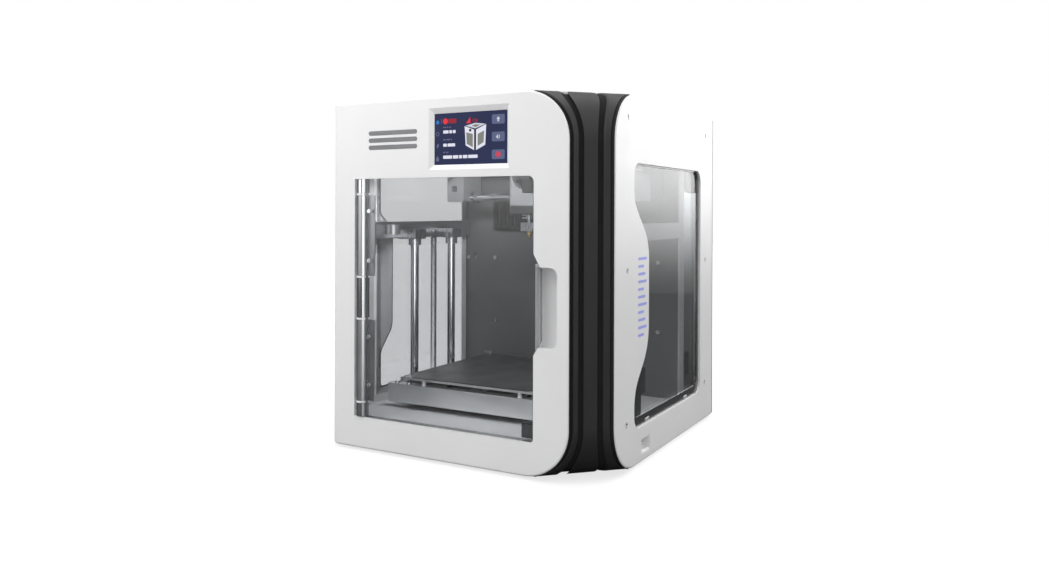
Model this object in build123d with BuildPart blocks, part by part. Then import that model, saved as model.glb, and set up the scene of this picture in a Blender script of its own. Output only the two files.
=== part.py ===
"""Enclosed desktop FDM printer: white shell panels round a steel chassis, a
clear hinged front door, a cantilevered heated bed on two guide rods and a lead
screw, and an X/Y gantry on polished rods.  Millimetres, +Z up, +X to the
viewer's right, +Y to the back.  The origin is the middle of the footprint."""

import math
import os

from build123d import *

os.makedirs("parts", exist_ok=True)

# ---------------------------------------------------------------- dimensions
W, D, H = 342.0, 363.0, 396.0      # shell width, depth to the back face, height
Y_MIN, Y_MAX = -2.78, 447.5        # hinge barrel in front, spool arm behind
XC, YC = W / 2, (Y_MIN + Y_MAX) / 2
PB = 3.0                           # panels start this far off the ground
T = 4.0                            # shell panel thickness
R_EDGE = 10.7                      # left front vertical edge
R_BIG = 52.0                       # big panel corners beside the column
R_SOFT = 2.4                       # softened panel rims
XR = 307.4                         # right edge of the front panel
YL = 33.3                          # front edge of the right panel
COL_T = 6.0                        # corner column wall
DOOR_X0, DOOR_X1, DOOR_Z0, DOOR_Z1 = 34.9, 267.1, 38.5, 308.7
TAB_X, TAB_Z = 275.2, (126.4, 141.1, 213.6, 229.4)
CUP_X, CUP_Z0, CUP_Z1 = 293.9, 134.5, 216.0
HINGE_X, HINGE_Y, HINGE_R, PIN_R = 43.8, 4.5, 7.0, 2.0
HINGE_RINGS = (55.8, 150.1, 197.5, 291.3)
DOOR_T, DOOR_GAP = 4.0, 0.6
FLOOR_Z = 36.0                     # underside of the chamber floor
WALL_X = 11.0                      # inner face of the left chamber wall
BACK_Y = 270.0                     # front face of the chamber back wall
ROD_R, FIT = 5.0, 0.06             # guide rods, running clearance
Z_ROD_X, Z_ROD_Y = 30.0, (121.6, 204.1)
SCREW_Y, SCREW_R = 162.9, 4.0      # lead screw, 8 mm lead
ROD_TOP = 247.0
Y_ROD_X, Y_ROD_Z = (36.0, 306.0), 322.0
X_ROD_Y, X_ROD_Z = 222.0, (291.4, 333.0)
BELT_Z0, BELT_Z1, PULLEY_R, BELT_T = 348.0, 354.0, 8.0, 1.4
IDLER_Y, MOTOR_Y = 24.0, 297.0
PLATE = (54.0, 64.0, 240.0, 254.0)  # build plate x0, y0, x1, y1
PLATE_Z = 75.0
NOZZLE_X, NOZZLE_Y, NOZZLE_Z = 150.0, 204.0, 239.0
HEAD_X0, HEAD_X1 = 134.0, 184.0
FAN_X, FAN_Z = 171.0, 330.0        # exhaust fan in the back panel


# ------------------------------------------------------------------- planes
def plan(z):
    """Horizontal plane at height z, measured from the front left corner."""
    return Plane(origin=(-XC, -YC, z))


def front(y):
    """Upright plane facing the front, local axes are X and Z."""
    return Plane(origin=(-XC, y - YC, 0), x_dir=(1, 0, 0), z_dir=(0, -1, 0))


def side(x):
    """Upright plane facing right, local axes are Y and Z."""
    return Plane(origin=(x - XC, -YC, 0), x_dir=(0, 1, 0), z_dir=(1, 0, 0))


def at(x, y, z):
    return Location((x - XC, y - YC, z))


def box(x0, y0, z0, x1, y1, z1, mode=Mode.ADD):
    """Axis-aligned block between two corners, in the active part."""
    with Locations(at((x0 + x1) / 2, (y0 + y1) / 2, (z0 + z1) / 2)):
        Box(x1 - x0, y1 - y0, z1 - z0, mode=mode)


def post(x, y, z0, z1, r, mode=Mode.ADD):
    """Upright cylinder in the active part."""
    with Locations(at(x, y, (z0 + z1) / 2)):
        Cylinder(r, z1 - z0, mode=mode)


def bar_y(x, z, y0, y1, r, mode=Mode.ADD):
    """Cylinder along Y in the active part."""
    with Locations(Location((x - XC, (y0 + y1) / 2 - YC, z), (90, 0, 0))):
        Cylinder(r, y1 - y0, mode=mode)


def bar_x(y, z, x0, x1, r, mode=Mode.ADD):
    """Cylinder along X in the active part."""
    with Locations(Location(((x0 + x1) / 2 - XC, y - YC, z), (0, 90, 0))):
        Cylinder(r, x1 - x0, mode=mode)


def rect(x0, y0, x1, y1, mode=Mode.ADD):
    """Rectangle between two corners, in the active sketch."""
    with Locations(((x0 + x1) / 2, (y0 + y1) / 2)):
        Rectangle(x1 - x0, y1 - y0, mode=mode)


def near(shapes, *points):
    """The vertices that lie closest to the given points."""
    return [shapes.sort_by_distance(p)[0] for p in points]


def save(builder, name):
    builder.part.label = name
    export_step(builder.part, "parts/" + name + ".step")


RIGHT_WINDOW = [(85.0, 324.2, 12), (85.0, 282.0, 26), (127.8, 240.0, 44),
                (127.8, 126.0, 58), (86.2, 82.0, 42), (86.2, 41.7, 13),
                (310.5, 41.7, 14), (310.5, 324.2, 14)]
LEFT_WINDOW = [(84.2, 324.2, 12), (84.2, 268.0, 10), (108.7, 249.0, 10),
               (108.7, 126.0, 22), (85.4, 98.0, 16), (85.4, 52.5, 5),
               (300.0, 52.5, 14), (300.0, 324.2, 14)]


# ------------------------------------------------------------- outer panels
with BuildPart() as front_panel:
    with BuildSketch(plan(PB)) as s:
        rect(0, 0, XR, 16)
        rect(T, T, XR + 1, 17, Mode.SUBTRACT)
        fillet(near(s.vertices(), (0, 0)), R_EDGE)
        fillet(near(s.vertices(), (T, T)), R_EDGE - T)
    extrude(amount=H - PB)
    with BuildSketch(front(-1)) as s:
        rect(0, PB, XR, H)
        fillet(near(s.vertices(), (XR, PB), (XR, H)), R_BIG)
    extrude(amount=-20, mode=Mode.INTERSECT)
    rim = front_panel.edges().filter_by(
        lambda e: e.bounding_box().max.Y < -YC + 0.01 and e.length > 20
        and e.center().X > -XC + R_EDGE + 0.5)
    fillet(rim, R_SOFT)
    # door opening with the finger notch
    with BuildSketch(front(-1)) as s:
        rect(DOOR_X0, DOOR_Z0, DOOR_X1, DOOR_Z1)
        fillet(near(s.vertices(), (DOOR_X1, DOOR_Z1)), 6.5)
        fillet(near(s.vertices(), (DOOR_X1, DOOR_Z0)), 3.2)
        with BuildLine():
            Polyline((DOOR_X1 - 5, TAB_Z[0] - 8), (DOOR_X1, TAB_Z[0]),
                     (TAB_X + 0.6, TAB_Z[1]), (TAB_X + 0.6, TAB_Z[2]),
                     (DOOR_X1, TAB_Z[3]), (DOOR_X1 - 5, TAB_Z[3] + 8), close=True)
        make_face()
    extrude(amount=-8, mode=Mode.SUBTRACT)
    with BuildSketch(front(-1)) as s:
        rect(DOOR_X1 - 4, CUP_Z0, CUP_X, CUP_Z1)
        fillet(near(s.vertices(), (CUP_X, CUP_Z0), (CUP_X, CUP_Z1)), 8.5)
    extrude(amount=-8, mode=Mode.SUBTRACT)
    # bevelled recess round the display
    with BuildSketch(front(0)):
        rect(137.5, 317.0, 238.1, 383.5)
    with BuildSketch(front(2.4)):
        rect(143.4, 322.1, 234.9, 377.5)
    loft(mode=Mode.SUBTRACT)
    with BuildSketch(front(2)):
        rect(143.4, 322.1, 234.9, 377.5)
    extrude(amount=-4, mode=Mode.SUBTRACT)
    # closed cup behind the finger notch
    with BuildSketch(front(T)) as s:
        rect(DOOR_X1 + 0.1, CUP_Z0 - 3, CUP_X + 3, CUP_Z1 + 3)
        fillet(near(s.vertices(), (CUP_X + 3, CUP_Z0 - 3), (CUP_X + 3, CUP_Z1 + 3)), 10)
        rect(DOOR_X1 + 2.1, CUP_Z0 - 0.5, CUP_X - 8, CUP_Z1 + 0.5, Mode.SUBTRACT)
        with Locations((CUP_X - 8.5, (CUP_Z0 + CUP_Z1) / 2)):
            RectangleRounded(18, CUP_Z1 - CUP_Z0 + 1, 8.4, mode=Mode.SUBTRACT)
    extrude(amount=-13)
    with BuildSketch(front(T + 13)) as s:
        rect(DOOR_X1 + 0.1, CUP_Z0 - 3, CUP_X + 3, CUP_Z1 + 3)
        fillet(near(s.vertices(), (CUP_X + 3, CUP_Z0 - 3), (CUP_X + 3, CUP_Z1 + 3)), 10)
    extrude(amount=-2)
save(front_panel, "front_panel")

PANEL_SCREWS = [(65.8, 370.4), (329.3, 370.7), (66.3, 211.0), (329.8, 210.4),
                (65.8, 50.7), (329.5, 50.7)]

with BuildPart() as right_panel:
    with BuildSketch(side(W - T)) as s:
        rect(YL, PB, D - 3, H)
        fillet(near(s.vertices(), (YL, PB), (YL, H)), R_BIG)
    extrude(amount=T)
    rim = right_panel.edges().filter_by(
        lambda e: e.bounding_box().min.X > XC - 0.01 and e.length > 20
        and e.center().Y < -YC + D - 4)
    fillet(rim, R_SOFT)
    with BuildSketch(side(W - T - 1)) as s:
        with BuildLine():
            Polyline(*[(y, z) for y, z, r in RIGHT_WINDOW], close=True)
        make_face()
        for y, z, r in RIGHT_WINDOW:
            fillet(near(s.vertices(), (y, z)), r)
    extrude(amount=T + 2, mode=Mode.SUBTRACT)
    box(W - T - 1, 107.0, 11.3, W + 1, 132.7, 28.1, Mode.SUBTRACT)
    for y, z in PANEL_SCREWS:
        bar_x(y, z, W - 1.6, W + 1, 3.2, Mode.SUBTRACT)
save(right_panel, "right_panel")

with BuildPart() as left_panel:
    with BuildSketch(side(0)) as s:
        rect(16.4, PB, D - 3, H)
    extrude(amount=T)
    rim = left_panel.edges().filter_by(
        lambda e: e.bounding_box().max.X < -XC + 0.01 and e.length > 20
        and abs(e.center().Z - H) < 0.1)
    fillet(rim, R_SOFT)
    with BuildSketch(side(-1)) as s:
        with BuildLine():
            Polyline(*[(y, z) for y, z, r in LEFT_WINDOW], close=True)
        make_face()
        for y, z, r in LEFT_WINDOW:
            fillet(near(s.vertices(), (y, z)), r)
    extrude(amount=T + 2, mode=Mode.SUBTRACT)
    for y, z in PANEL_SCREWS:
        bar_x(y, z, -1, 1.6, 3.2, Mode.SUBTRACT)
save(left_panel, "left_panel")

with BuildPart() as case_screws:
    for y, z in PANEL_SCREWS:
        bar_x(y, z, W - 1.5, W - 0.5, 3.0)
        bar_x(y, z, 0.5, 1.5, 3.0)
    for y, z in PANEL_SCREWS:
        bar_x(y, z, W - 0.9, W - 0.4, 1.2, Mode.SUBTRACT)
        bar_x(y, z, 0.4, 0.9, 1.2, Mode.SUBTRACT)
    for x, z in ((16.5, 207), (60, 207.5), (300, 208), (60, 120), (300, 120), (200, 60)):
        bar_y(x, z, BACK_Y - 1.6, BACK_Y, 2.6)
save(case_screws, "case_screws")

VENTS = [(FAN_X + 9.0 * i, FAN_Z + 9.0 * j) for i in range(-3, 4)
         for j in range(-3, 4) if 4 < math.hypot(9.0 * i, 9.0 * j) < 31]
with BuildPart() as back_panel:
    with BuildSketch(front(D - 3)) as s:
        rect(0, PB, W, H)
        fillet(near(s.vertices(), (0, PB), (W, PB), (0, H), (W, H)), 3)
        with Locations(*VENTS):
            RectangleRounded(6.4, 6.4, 1.6, mode=Mode.SUBTRACT)
        for j in range(8):
            rect(60, 210 + 7 * j, 130, 213 + 7 * j, Mode.SUBTRACT)
            rect(212, 210 + 7 * j, 282, 213 + 7 * j, Mode.SUBTRACT)
        rect(262, 56, 310, 84, Mode.SUBTRACT)          # power inlet
        rect(224, 56, 246, 84, Mode.SUBTRACT)          # its switch
        with Locations((252, 352)):
            Circle(6.2, mode=Mode.SUBTRACT)            # filament inlet
    extrude(amount=-3)
save(back_panel, "back_panel")

# corner column: a 45 degree face between the two panels' curved edges
COS = math.sqrt(0.5)
COL = Plane(origin=(-XC, -YC, 0), x_dir=(COS, -COS, 0), z_dir=(-COS, -COS, 0))


def column_profile(inset):
    """Closed strip that follows the panels' edges, seen along the 45 degree face."""
    s_out, s_c = XR * COS - inset, (XR - R_BIG) * COS
    rx, rz = R_BIG * COS - inset, R_BIG - inset
    s_in, ix, iz = XR * COS - COL_T, R_BIG * COS - COL_T, R_BIG - COL_T
    top, low = H - R_BIG, PB + R_BIG
    EllipticalCenterArc((s_c, top), rx, rz, start_angle=0, arc_size=90)
    Line((s_out, top), (s_out, low))
    EllipticalCenterArc((s_c, low), rx, rz, start_angle=270, arc_size=90)
    Line((s_c, top + rz), (s_c, top + iz))
    EllipticalCenterArc((s_c, top), ix, iz, start_angle=0, arc_size=90)
    Line((s_in, top), (s_in, low))
    EllipticalCenterArc((s_c, low), ix, iz, start_angle=270, arc_size=90)
    Line((s_c, low - rz), (s_c, low - iz))


GROOVES = ((6.6, 10.8), (6.9, 12.2))   # from the front panel, from the side panel
with BuildPart() as corner_column:
    with BuildSketch(COL):
        with BuildLine():
            column_profile(0.0)
        make_face()
    extrude(amount=-420)
    # the grooves run parallel to the panels' edges and flare with them
    with BuildSketch(front(-40)) as s:
        rect(-100, PB - GROOVES[0][1], XR + GROOVES[0][1], H + GROOVES[0][1])
        fillet(near(s.vertices(), (XR + 11, PB - 11), (XR + 11, H + 11)), R_BIG + GROOVES[0][1])
        with BuildLine():
            Polyline((-101, PB - GROOVES[0][0]), (XR - R_BIG, PB - GROOVES[0][0]))
            CenterArc((XR - R_BIG, PB + R_BIG), R_BIG + GROOVES[0][0], -90, 90)
            Polyline((XR + GROOVES[0][0], PB + R_BIG), (XR + GROOVES[0][0], H - R_BIG))
            CenterArc((XR - R_BIG, H - R_BIG), R_BIG + GROOVES[0][0], 0, 90)
            Polyline((XR - R_BIG, H + GROOVES[0][0]), (-101, H + GROOVES[0][0]),
                     (-101, PB - GROOVES[0][0]))
        make_face(mode=Mode.SUBTRACT)
    extrude(amount=-400, mode=Mode.SUBTRACT)
    with BuildSketch(side(100)) as s:
        rect(YL - GROOVES[1][1], PB - GROOVES[1][1], 500, H + GROOVES[1][1])
        fillet(near(s.vertices(), (YL - 12, PB - 12), (YL - 12, H + 12)), R_BIG + GROOVES[1][1])
        with BuildLine():
            Polyline((501, H + GROOVES[1][0]), (YL + R_BIG, H + GROOVES[1][0]))
            CenterArc((YL + R_BIG, H - R_BIG), R_BIG + GROOVES[1][0], 90, 90)
            Polyline((YL - GROOVES[1][0], H - R_BIG), (YL - GROOVES[1][0], PB + R_BIG))
            CenterArc((YL + R_BIG, PB + R_BIG), R_BIG + GROOVES[1][0], 180, 90)
            Polyline((YL + R_BIG, PB - GROOVES[1][0]), (501, PB - GROOVES[1][0]),
                     (501, H + GROOVES[1][0]))
        make_face(mode=Mode.SUBTRACT)
    extrude(amount=300, mode=Mode.SUBTRACT)
    with BuildSketch(COL):
        with BuildLine():
            column_profile(2.6)
        make_face()
    extrude(amount=-420)
    box(200, T, PB, W - T, 200, H, Mode.INTERSECT)
save(corner_column, "corner_column")

# ------------------------------------------------------ windows and gaskets
with BuildPart() as side_windows:
    box(W - 6.5, 78, 37, W - T, 318, 332)
    box(T, 78, 45, 6.5, 318, 332)
save(side_windows, "side_windows")
GASKETS = (
    (W - T, 1.4, RIGHT_WINDOW,
     [(86.6, 322.6, 11), (86.6, 282.7, 26), (129.4, 240.7, 44), (129.4, 125.3, 58),
      (91.0, 82.0, 42), (91.0, 52.0, 10), (304.5, 52.0, 10), (304.5, 322.6, 10)]),
    (T, -1.4, LEFT_WINDOW,
     [(85.6, 322.8, 11), (85.6, 268.9, 10), (110.1, 249.9, 10), (110.1, 125.3, 22),
      (86.8, 97.3, 16), (86.8, 53.9, 4), (298.6, 53.9, 12), (298.6, 322.8, 12)]))
with BuildPart() as window_gaskets:
    for x, t, outer, inner in GASKETS:
        with BuildSketch(side(x)) as s:
            with BuildLine():
                Polyline(*[(y, z) for y, z, r in outer], close=True)
            make_face()
            for y, z, r in outer:
                fillet(near(s.vertices(), (y, z)), r)
        extrude(amount=t)
    for x, t, outer, inner in GASKETS:
        with BuildSketch(side(x)) as s:
            with BuildLine():
                Polyline(*[(y, z) for y, z, r in inner], close=True)
            make_face()
            for y, z, r in inner:
                fillet(near(s.vertices(), (y, z)), r)
        extrude(amount=2 * t, mode=Mode.SUBTRACT)
save(window_gaskets, "window_gaskets")

# -------------------------------------------------------------- base and top
FOOT = [(T, T), (XR - R_BIG + T - 0.1, T), (W - T, 82.7), (W - T, D - 3), (T, D - 3)]
with BuildPart() as base_tray:
    with BuildSketch(plan(PB + 1)) as s:
        with BuildLine():
            Polyline(*FOOT, close=True)
        make_face()
        fillet(near(s.vertices(), (T, T)), R_EDGE - T)
    extrude(amount=FLOOR_Z - PB - 1)
    with BuildSketch(plan(PB + 3)) as s:
        with BuildLine():
            Polyline((7, 7), (XR - R_BIG + 4, 7), (W - T - 3, 84), (W - T - 3, D - 6),
                     (7, D - 6), close=True)
        make_face()
    extrude(amount=60, mode=Mode.SUBTRACT)
    box(326, 106.0, 10, 340, 134, 29.4, Mode.SUBTRACT)
save(base_tray, "base_tray")

with BuildPart() as feet:
    for x, y in ((46, 46), (262, 58), (46, 318), (296, 318)):
        post(x, y, 0, PB + 1, 9)
    chamfer(feet.faces().filter_by(Axis.Z).sort_by(Axis.Z)[:4].edges(), 0.8)
save(feet, "feet")

with BuildPart() as chamber_floor:
    with BuildSketch(plan(FLOOR_Z)) as s:
        with BuildLine():
            Polyline((WALL_X - 1.5, 14), (284, 14), (W - WALL_X + 1.5, 60),
                     (W - WALL_X + 1.5, 274), (WALL_X - 1.5, 274), close=True)
        make_face()
        with Locations((Z_ROD_X, SCREW_Y)):
            Circle(8.0, mode=Mode.SUBTRACT)
    extrude(amount=1.5)
save(chamber_floor, "chamber_floor")

LID = [(24, 26), (236, 26), (318, 108), (318, 336), (24, 336)]
with BuildPart() as top_frame:
    with BuildSketch(plan(H - 12)) as s:
        with BuildLine():
            Polyline((T, T), (XR - R_BIG + T - 0.1, T), (W - T, 82.7), (W - T, D - 3), (T, D - 3),
                     close=True)
        make_face()
        fillet(near(s.vertices(), (T, T)), R_EDGE - T)
        with BuildLine():
            Polyline((32, 34), (232.7, 34), (310, 111.3), (310, 328), (32, 328), close=True)
        make_face(mode=Mode.SUBTRACT)
    extrude(amount=12)
    with BuildSketch(plan(H - 5)) as s:
        with BuildLine():
            Polyline(*LID, close=True)
        make_face()
        fillet(s.vertices(), 6)
    extrude(amount=10, mode=Mode.SUBTRACT)
save(top_frame, "top_frame")

with BuildPart() as top_lid:
    with BuildSketch(plan(H - 5)) as s:
        with BuildLine():
            Polyline(*[(x + (0.6 if x < 100 else -0.6), y + (0.6 if y < 200 else -0.6))
                       for x, y in LID], close=True)
        make_face()
        fillet(s.vertices(), 5.5)
    extrude(amount=4.4)
    with BuildSketch(plan(H - 6)) as s:
        with Locations((170, 44)):
            SlotOverall(60, 16)
    extrude(amount=10, mode=Mode.SUBTRACT)
save(top_lid, "top_lid")
with BuildPart() as lid_handle:
    with BuildSketch(plan(H - 9)) as s:
        with Locations((170, 44)):
            SlotOverall(59.4, 15.4)
    extrude(amount=8.4)
    with BuildSketch(plan(H - 7.5)) as s:
        with Locations((170, 44)):
            SlotOverall(56, 12)
    extrude(amount=10, mode=Mode.SUBTRACT)
save(lid_handle, "lid_handle")

# ------------------------------------------------------------ chamber walls
with BuildPart() as side_liners:
    with BuildSketch(side(WALL_X - 1.5)) as s:
        rect(16.4, FLOOR_Z + 1.5, 274, H - 12)
        rect(64, 47, 288, 332, Mode.SUBTRACT)
        rect(260, 47, 274, 332)
        rect(64, 238, 274, 259)
    extrude(amount=1.5)
    with BuildSketch(side(W - WALL_X)) as s:
        rect(62, FLOOR_Z + 1.5, 274, H - 12)
        rect(78, 47, 256, 332, Mode.SUBTRACT)
        rect(62, 240, 274, 259)
    extrude(amount=1.5)
save(side_liners, "side_liners")
with BuildPart() as side_rails:
    box(WALL_X, 16.4, 238, WALL_X + 6, BACK_Y, 259)
    box(W - WALL_X - 6, 62, 240, W - WALL_X, BACK_Y, 259)
    fillet(side_rails.edges().filter_by(Axis.Y), 1.2)
    # turned bosses near the front ends
    post(WALL_X + 14, 84, 243.5, 255.5, 9)
    post(W - WALL_X - 14, 84, 243.5, 255.5, 9)
save(side_rails, "side_rails")
with BuildPart() as rear_wall:
    with BuildSketch(front(BACK_Y)) as s:
        rect(WALL_X, FLOOR_Z + 1.5, W - WALL_X, H - 12)
        rect(22, BELT_Z0 - 5, 50, BELT_Z1 + 5, Mode.SUBTRACT)
        rect(292, BELT_Z0 - 5, 320, BELT_Z1 + 5, Mode.SUBTRACT)
        rect(64, 252, 180, 282, Mode.SUBTRACT)
        with Locations((27.5, 209)):
            SlotOverall(9, 5, rotation=90, mode=Mode.SUBTRACT)
    extrude(amount=-1.5)
save(rear_wall, "rear_wall")
with BuildPart() as filter_box:
    box(60, BACK_Y - 6, 247.5, 184, BACK_Y, 286)
    fillet(filter_box.edges().filter_by(Axis.Y), 3)
    for i in range(10):
        box(66 + 12 * i, BACK_Y - 7, 252, 70 + 12 * i, BACK_Y + 1, 282, Mode.SUBTRACT)
save(filter_box, "filter_box")
# ---------------------------------------------------------- display, badge
with BuildPart() as touch_screen:
    box(143.5, 2.4, 322.2, 234.8, T, 377.4)
    box(140, T, 318.5, 238.4, 10, 381)
save(touch_screen, "touch_screen")

# --------------------------------------------------------- handle cup, door
DX0, DX1 = HINGE_X + HINGE_R + 0.8, DOOR_X1 - DOOR_GAP
DZ0, DZ1 = DOOR_Z0 + DOOR_GAP, DOOR_Z1 - DOOR_GAP
with BuildPart() as door_panel:
    with BuildSketch(front(0)) as s:
        with BuildLine():
            Polyline((DX0, DZ0), (DX1, DZ0), (DX1, TAB_Z[0] + 0.3), (TAB_X, TAB_Z[1] + 0.3),
                     (TAB_X, TAB_Z[2] - 0.3), (DX1, TAB_Z[3] - 0.3), (DX1, DZ1), (DX0, DZ1),
                     close=True)
        make_face()
        fillet(near(s.vertices(), (DX1, DZ1)), 6)
        fillet(near(s.vertices(), (DX1, DZ0)), 3)
        fillet(near(s.vertices(), (TAB_X, TAB_Z[1]), (TAB_X, TAB_Z[2])), 4)
    extrude(amount=-DOOR_T)
save(door_panel, "door_panel")

KNUCKLES = [DZ0 + 0.2] + [z for r in HINGE_RINGS for z in (r - 1.2, r + 1.2)] + [DZ1 - 0.2]
with BuildPart() as hinge_frame_leaf:
    box(DOOR_X0, T + 1, DZ0 + 0.2, DOOR_X0 + 1.5, 16, DZ1 - 0.2)
    for k in (0, 2, 4):
        z0, z1 = KNUCKLES[2 * k], KNUCKLES[2 * k + 1]
        post(HINGE_X, HINGE_Y, z0, z1, HINGE_R)
        box(DOOR_X0, HINGE_Y + 2, z0, HINGE_X, HINGE_Y + HINGE_R, z1)
    post(HINGE_X, HINGE_Y, 0, H, PIN_R + 0.0, Mode.SUBTRACT)
save(hinge_frame_leaf, "hinge_frame_leaf")
with BuildPart() as hinge_door_leaf:
    for k in (1, 3):
        z0, z1 = KNUCKLES[2 * k], KNUCKLES[2 * k + 1]
        post(HINGE_X, HINGE_Y, z0, z1, HINGE_R)
        box(HINGE_X, DOOR_T, z0, DX0 + 9, DOOR_T + 1.5, z1)
    post(HINGE_X, HINGE_Y, 0, H, PIN_R + FIT, Mode.SUBTRACT)
save(hinge_door_leaf, "hinge_door_leaf")
with BuildPart() as hinge_pin:
    post(HINGE_X, HINGE_Y, DZ0 + 0.2, DZ1 - 0.2, PIN_R)
    for z in HINGE_RINGS:
        post(HINGE_X, HINGE_Y, z - 0.9, z + 0.9, HINGE_R + 0.28)
save(hinge_pin, "hinge_pin")
with BuildPart() as door_fittings:
    for z in (76, 130, 216, 272):
        bar_y(DX0 + 4.2, z, -1.2, 0, 2.4)
        bar_y(DX0 + 4.2, z, DOOR_T + 1.5, DOOR_T + 2.5, 2.2)
    for z0, z1 in ((292, 305), (42, 55)):
        box(252, DOOR_T, z0, 265, DOOR_T + 1, z1)
save(door_fittings, "door_fittings")
with BuildPart() as door_magnets:
    for z0, z1 in ((291, 306), (41, 56)):
        box(251, DOOR_T + 1.2, z0, 271.5, 16, z1)
        box(DOOR_X1 + 0.5, T, z0, 273, 16, z1)
save(door_magnets, "door_magnets")

# ---------------------------------------------------------- Z axis and bed
with BuildPart() as guide_rods:
    for y in Z_ROD_Y:
        post(Z_ROD_X, y, FLOOR_Z + 1.5, ROD_TOP, ROD_R)
    for x in Y_ROD_X:
        bar_y(x, Y_ROD_Z, 14, BACK_Y, ROD_R)
save(guide_rods, "guide_rods")
with BuildPart() as rod_mounts:
    for y in Z_ROD_Y:
        box(WALL_X, y - 11, ROD_TOP - 10, Z_ROD_X + 9, y + 11, ROD_TOP + 2)
        post(Z_ROD_X, y, ROD_TOP - 18, ROD_TOP - 9, 8)
        post(Z_ROD_X, y, 0, ROD_TOP, ROD_R, Mode.SUBTRACT)
    box(WALL_X - 1, 0, 237.9, WALL_X + 6, D, 259.1, Mode.SUBTRACT)
    # lead screw's top bearing plate
    box(WALL_X + 6, SCREW_Y - 13, ROD_TOP - 8, Z_ROD_X + 8, SCREW_Y + 13, ROD_TOP - 2)
    post(Z_ROD_X, SCREW_Y, 0, ROD_TOP + 5, SCREW_R + FIT, Mode.SUBTRACT)
    # front ends of the Y rods, with the idler spindles
    box(WALL_X, 16.4, 310, 46, 34, 334)
    box(296, 34, 310, W - WALL_X, 46, 334)
    box(302, 16.4, 310, 310, 34.2, 334)
    for x in Y_ROD_X:
        post(x, IDLER_Y, 334 - 8, BELT_Z0 - 3.6, 4)
        post(x, IDLER_Y, BELT_Z0 - 4, BELT_Z1 + 5, 2.5)
        bar_y(x, Y_ROD_Z, 0, 100, ROD_R, Mode.SUBTRACT)
save(rod_mounts, "rod_mounts")
with BuildPart() as lead_screw:
    post(Z_ROD_X, SCREW_Y, 20.5, ROD_TOP + 1, SCREW_R)
    chamfer(lead_screw.faces().sort_by(Axis.Z)[-1].edges(), 0.8)
save(lead_screw, "lead_screw")
with BuildPart() as lead_nut:
    post(Z_ROD_X, SCREW_Y, 46, 62, 7)
    post(Z_ROD_X, SCREW_Y, 56, 60, 11)
    post(Z_ROD_X, SCREW_Y, 0, 100, SCREW_R + FIT, Mode.SUBTRACT)
save(lead_nut, "lead_nut")
with BuildPart() as z_bearings:
    for y in Z_ROD_Y:
        post(Z_ROD_X, y, 39, 62, 9)
        post(Z_ROD_X, y, 0, 100, ROD_R + FIT, Mode.SUBTRACT)
save(z_bearings, "z_bearings")
with BuildPart() as bed_carriage:
    box(20, 106, 44, 46, 220, 64)
    for y in Z_ROD_Y:
        post(Z_ROD_X, y, 0, 100, 9, Mode.SUBTRACT)
    post(Z_ROD_X, SCREW_Y, 0, 56, 7, Mode.SUBTRACT)
    post(Z_ROD_X, SCREW_Y, 56, 60, 11, Mode.SUBTRACT)
    post(Z_ROD_X, SCREW_Y, 60, 100, 7, Mode.SUBTRACT)
save(bed_carriage, "bed_carriage")
with BuildPart() as bed_frame:
    box(46, 72, 44, 250, 250, 66)
    box(48.5, 74.5, 43, 247.5, 247.5, 67, Mode.SUBTRACT)
    box(35, 62, 44, 250, 72, 66)
    box(37, 64, 43, 248, 71, 64, Mode.SUBTRACT)
    for x in (96, 150, 204):
        box(x - 8, 73, 64, x + 8, 249, 66)
save(bed_frame, "bed_frame")
KNOBS = [(96, 92), (204, 92), (96, 226), (204, 226)]
with BuildPart() as leveling_knobs:
    for x, y in KNOBS:
        post(x, y, 66, PLATE_Z - 4.0, 5)
        post(x, y, 0, 100, 1.6, Mode.SUBTRACT)
    for x, y in KNOBS:
        post(x, y, 55, 63.9, 9)
        with Locations(at(x, y, 60)):
            with PolarLocations(9.6, 12):
                Cylinder(1.3, 12, mode=Mode.SUBTRACT)
        post(x, y, 50, 71, 1.6, Mode.SUBTRACT)
save(leveling_knobs, "leveling_knobs")
X0, Y0, X1, Y1 = PLATE
with BuildPart() as heated_bed:
    box(X0 + 2, Y0 + 2, PLATE_Z - 4.0, X1 - 2, Y1 - 2, PLATE_Z - 0.8)
    fillet(heated_bed.edges().filter_by(Axis.Z), 3)
save(heated_bed, "heated_bed")
with BuildPart() as build_plate:
    with BuildSketch(plan(PLATE_Z - 0.8)) as s:
        with BuildLine():
            Polyline((X0 + 16, Y0), (X1 - 16, Y0), (X1, Y0 + 16), (X1, Y1), (X0, Y1),
                     (X0, Y0 + 16), close=True)
        make_face()
        fillet(s.vertices(), 3)
    extrude(amount=0.8)
save(build_plate, "build_plate")

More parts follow.
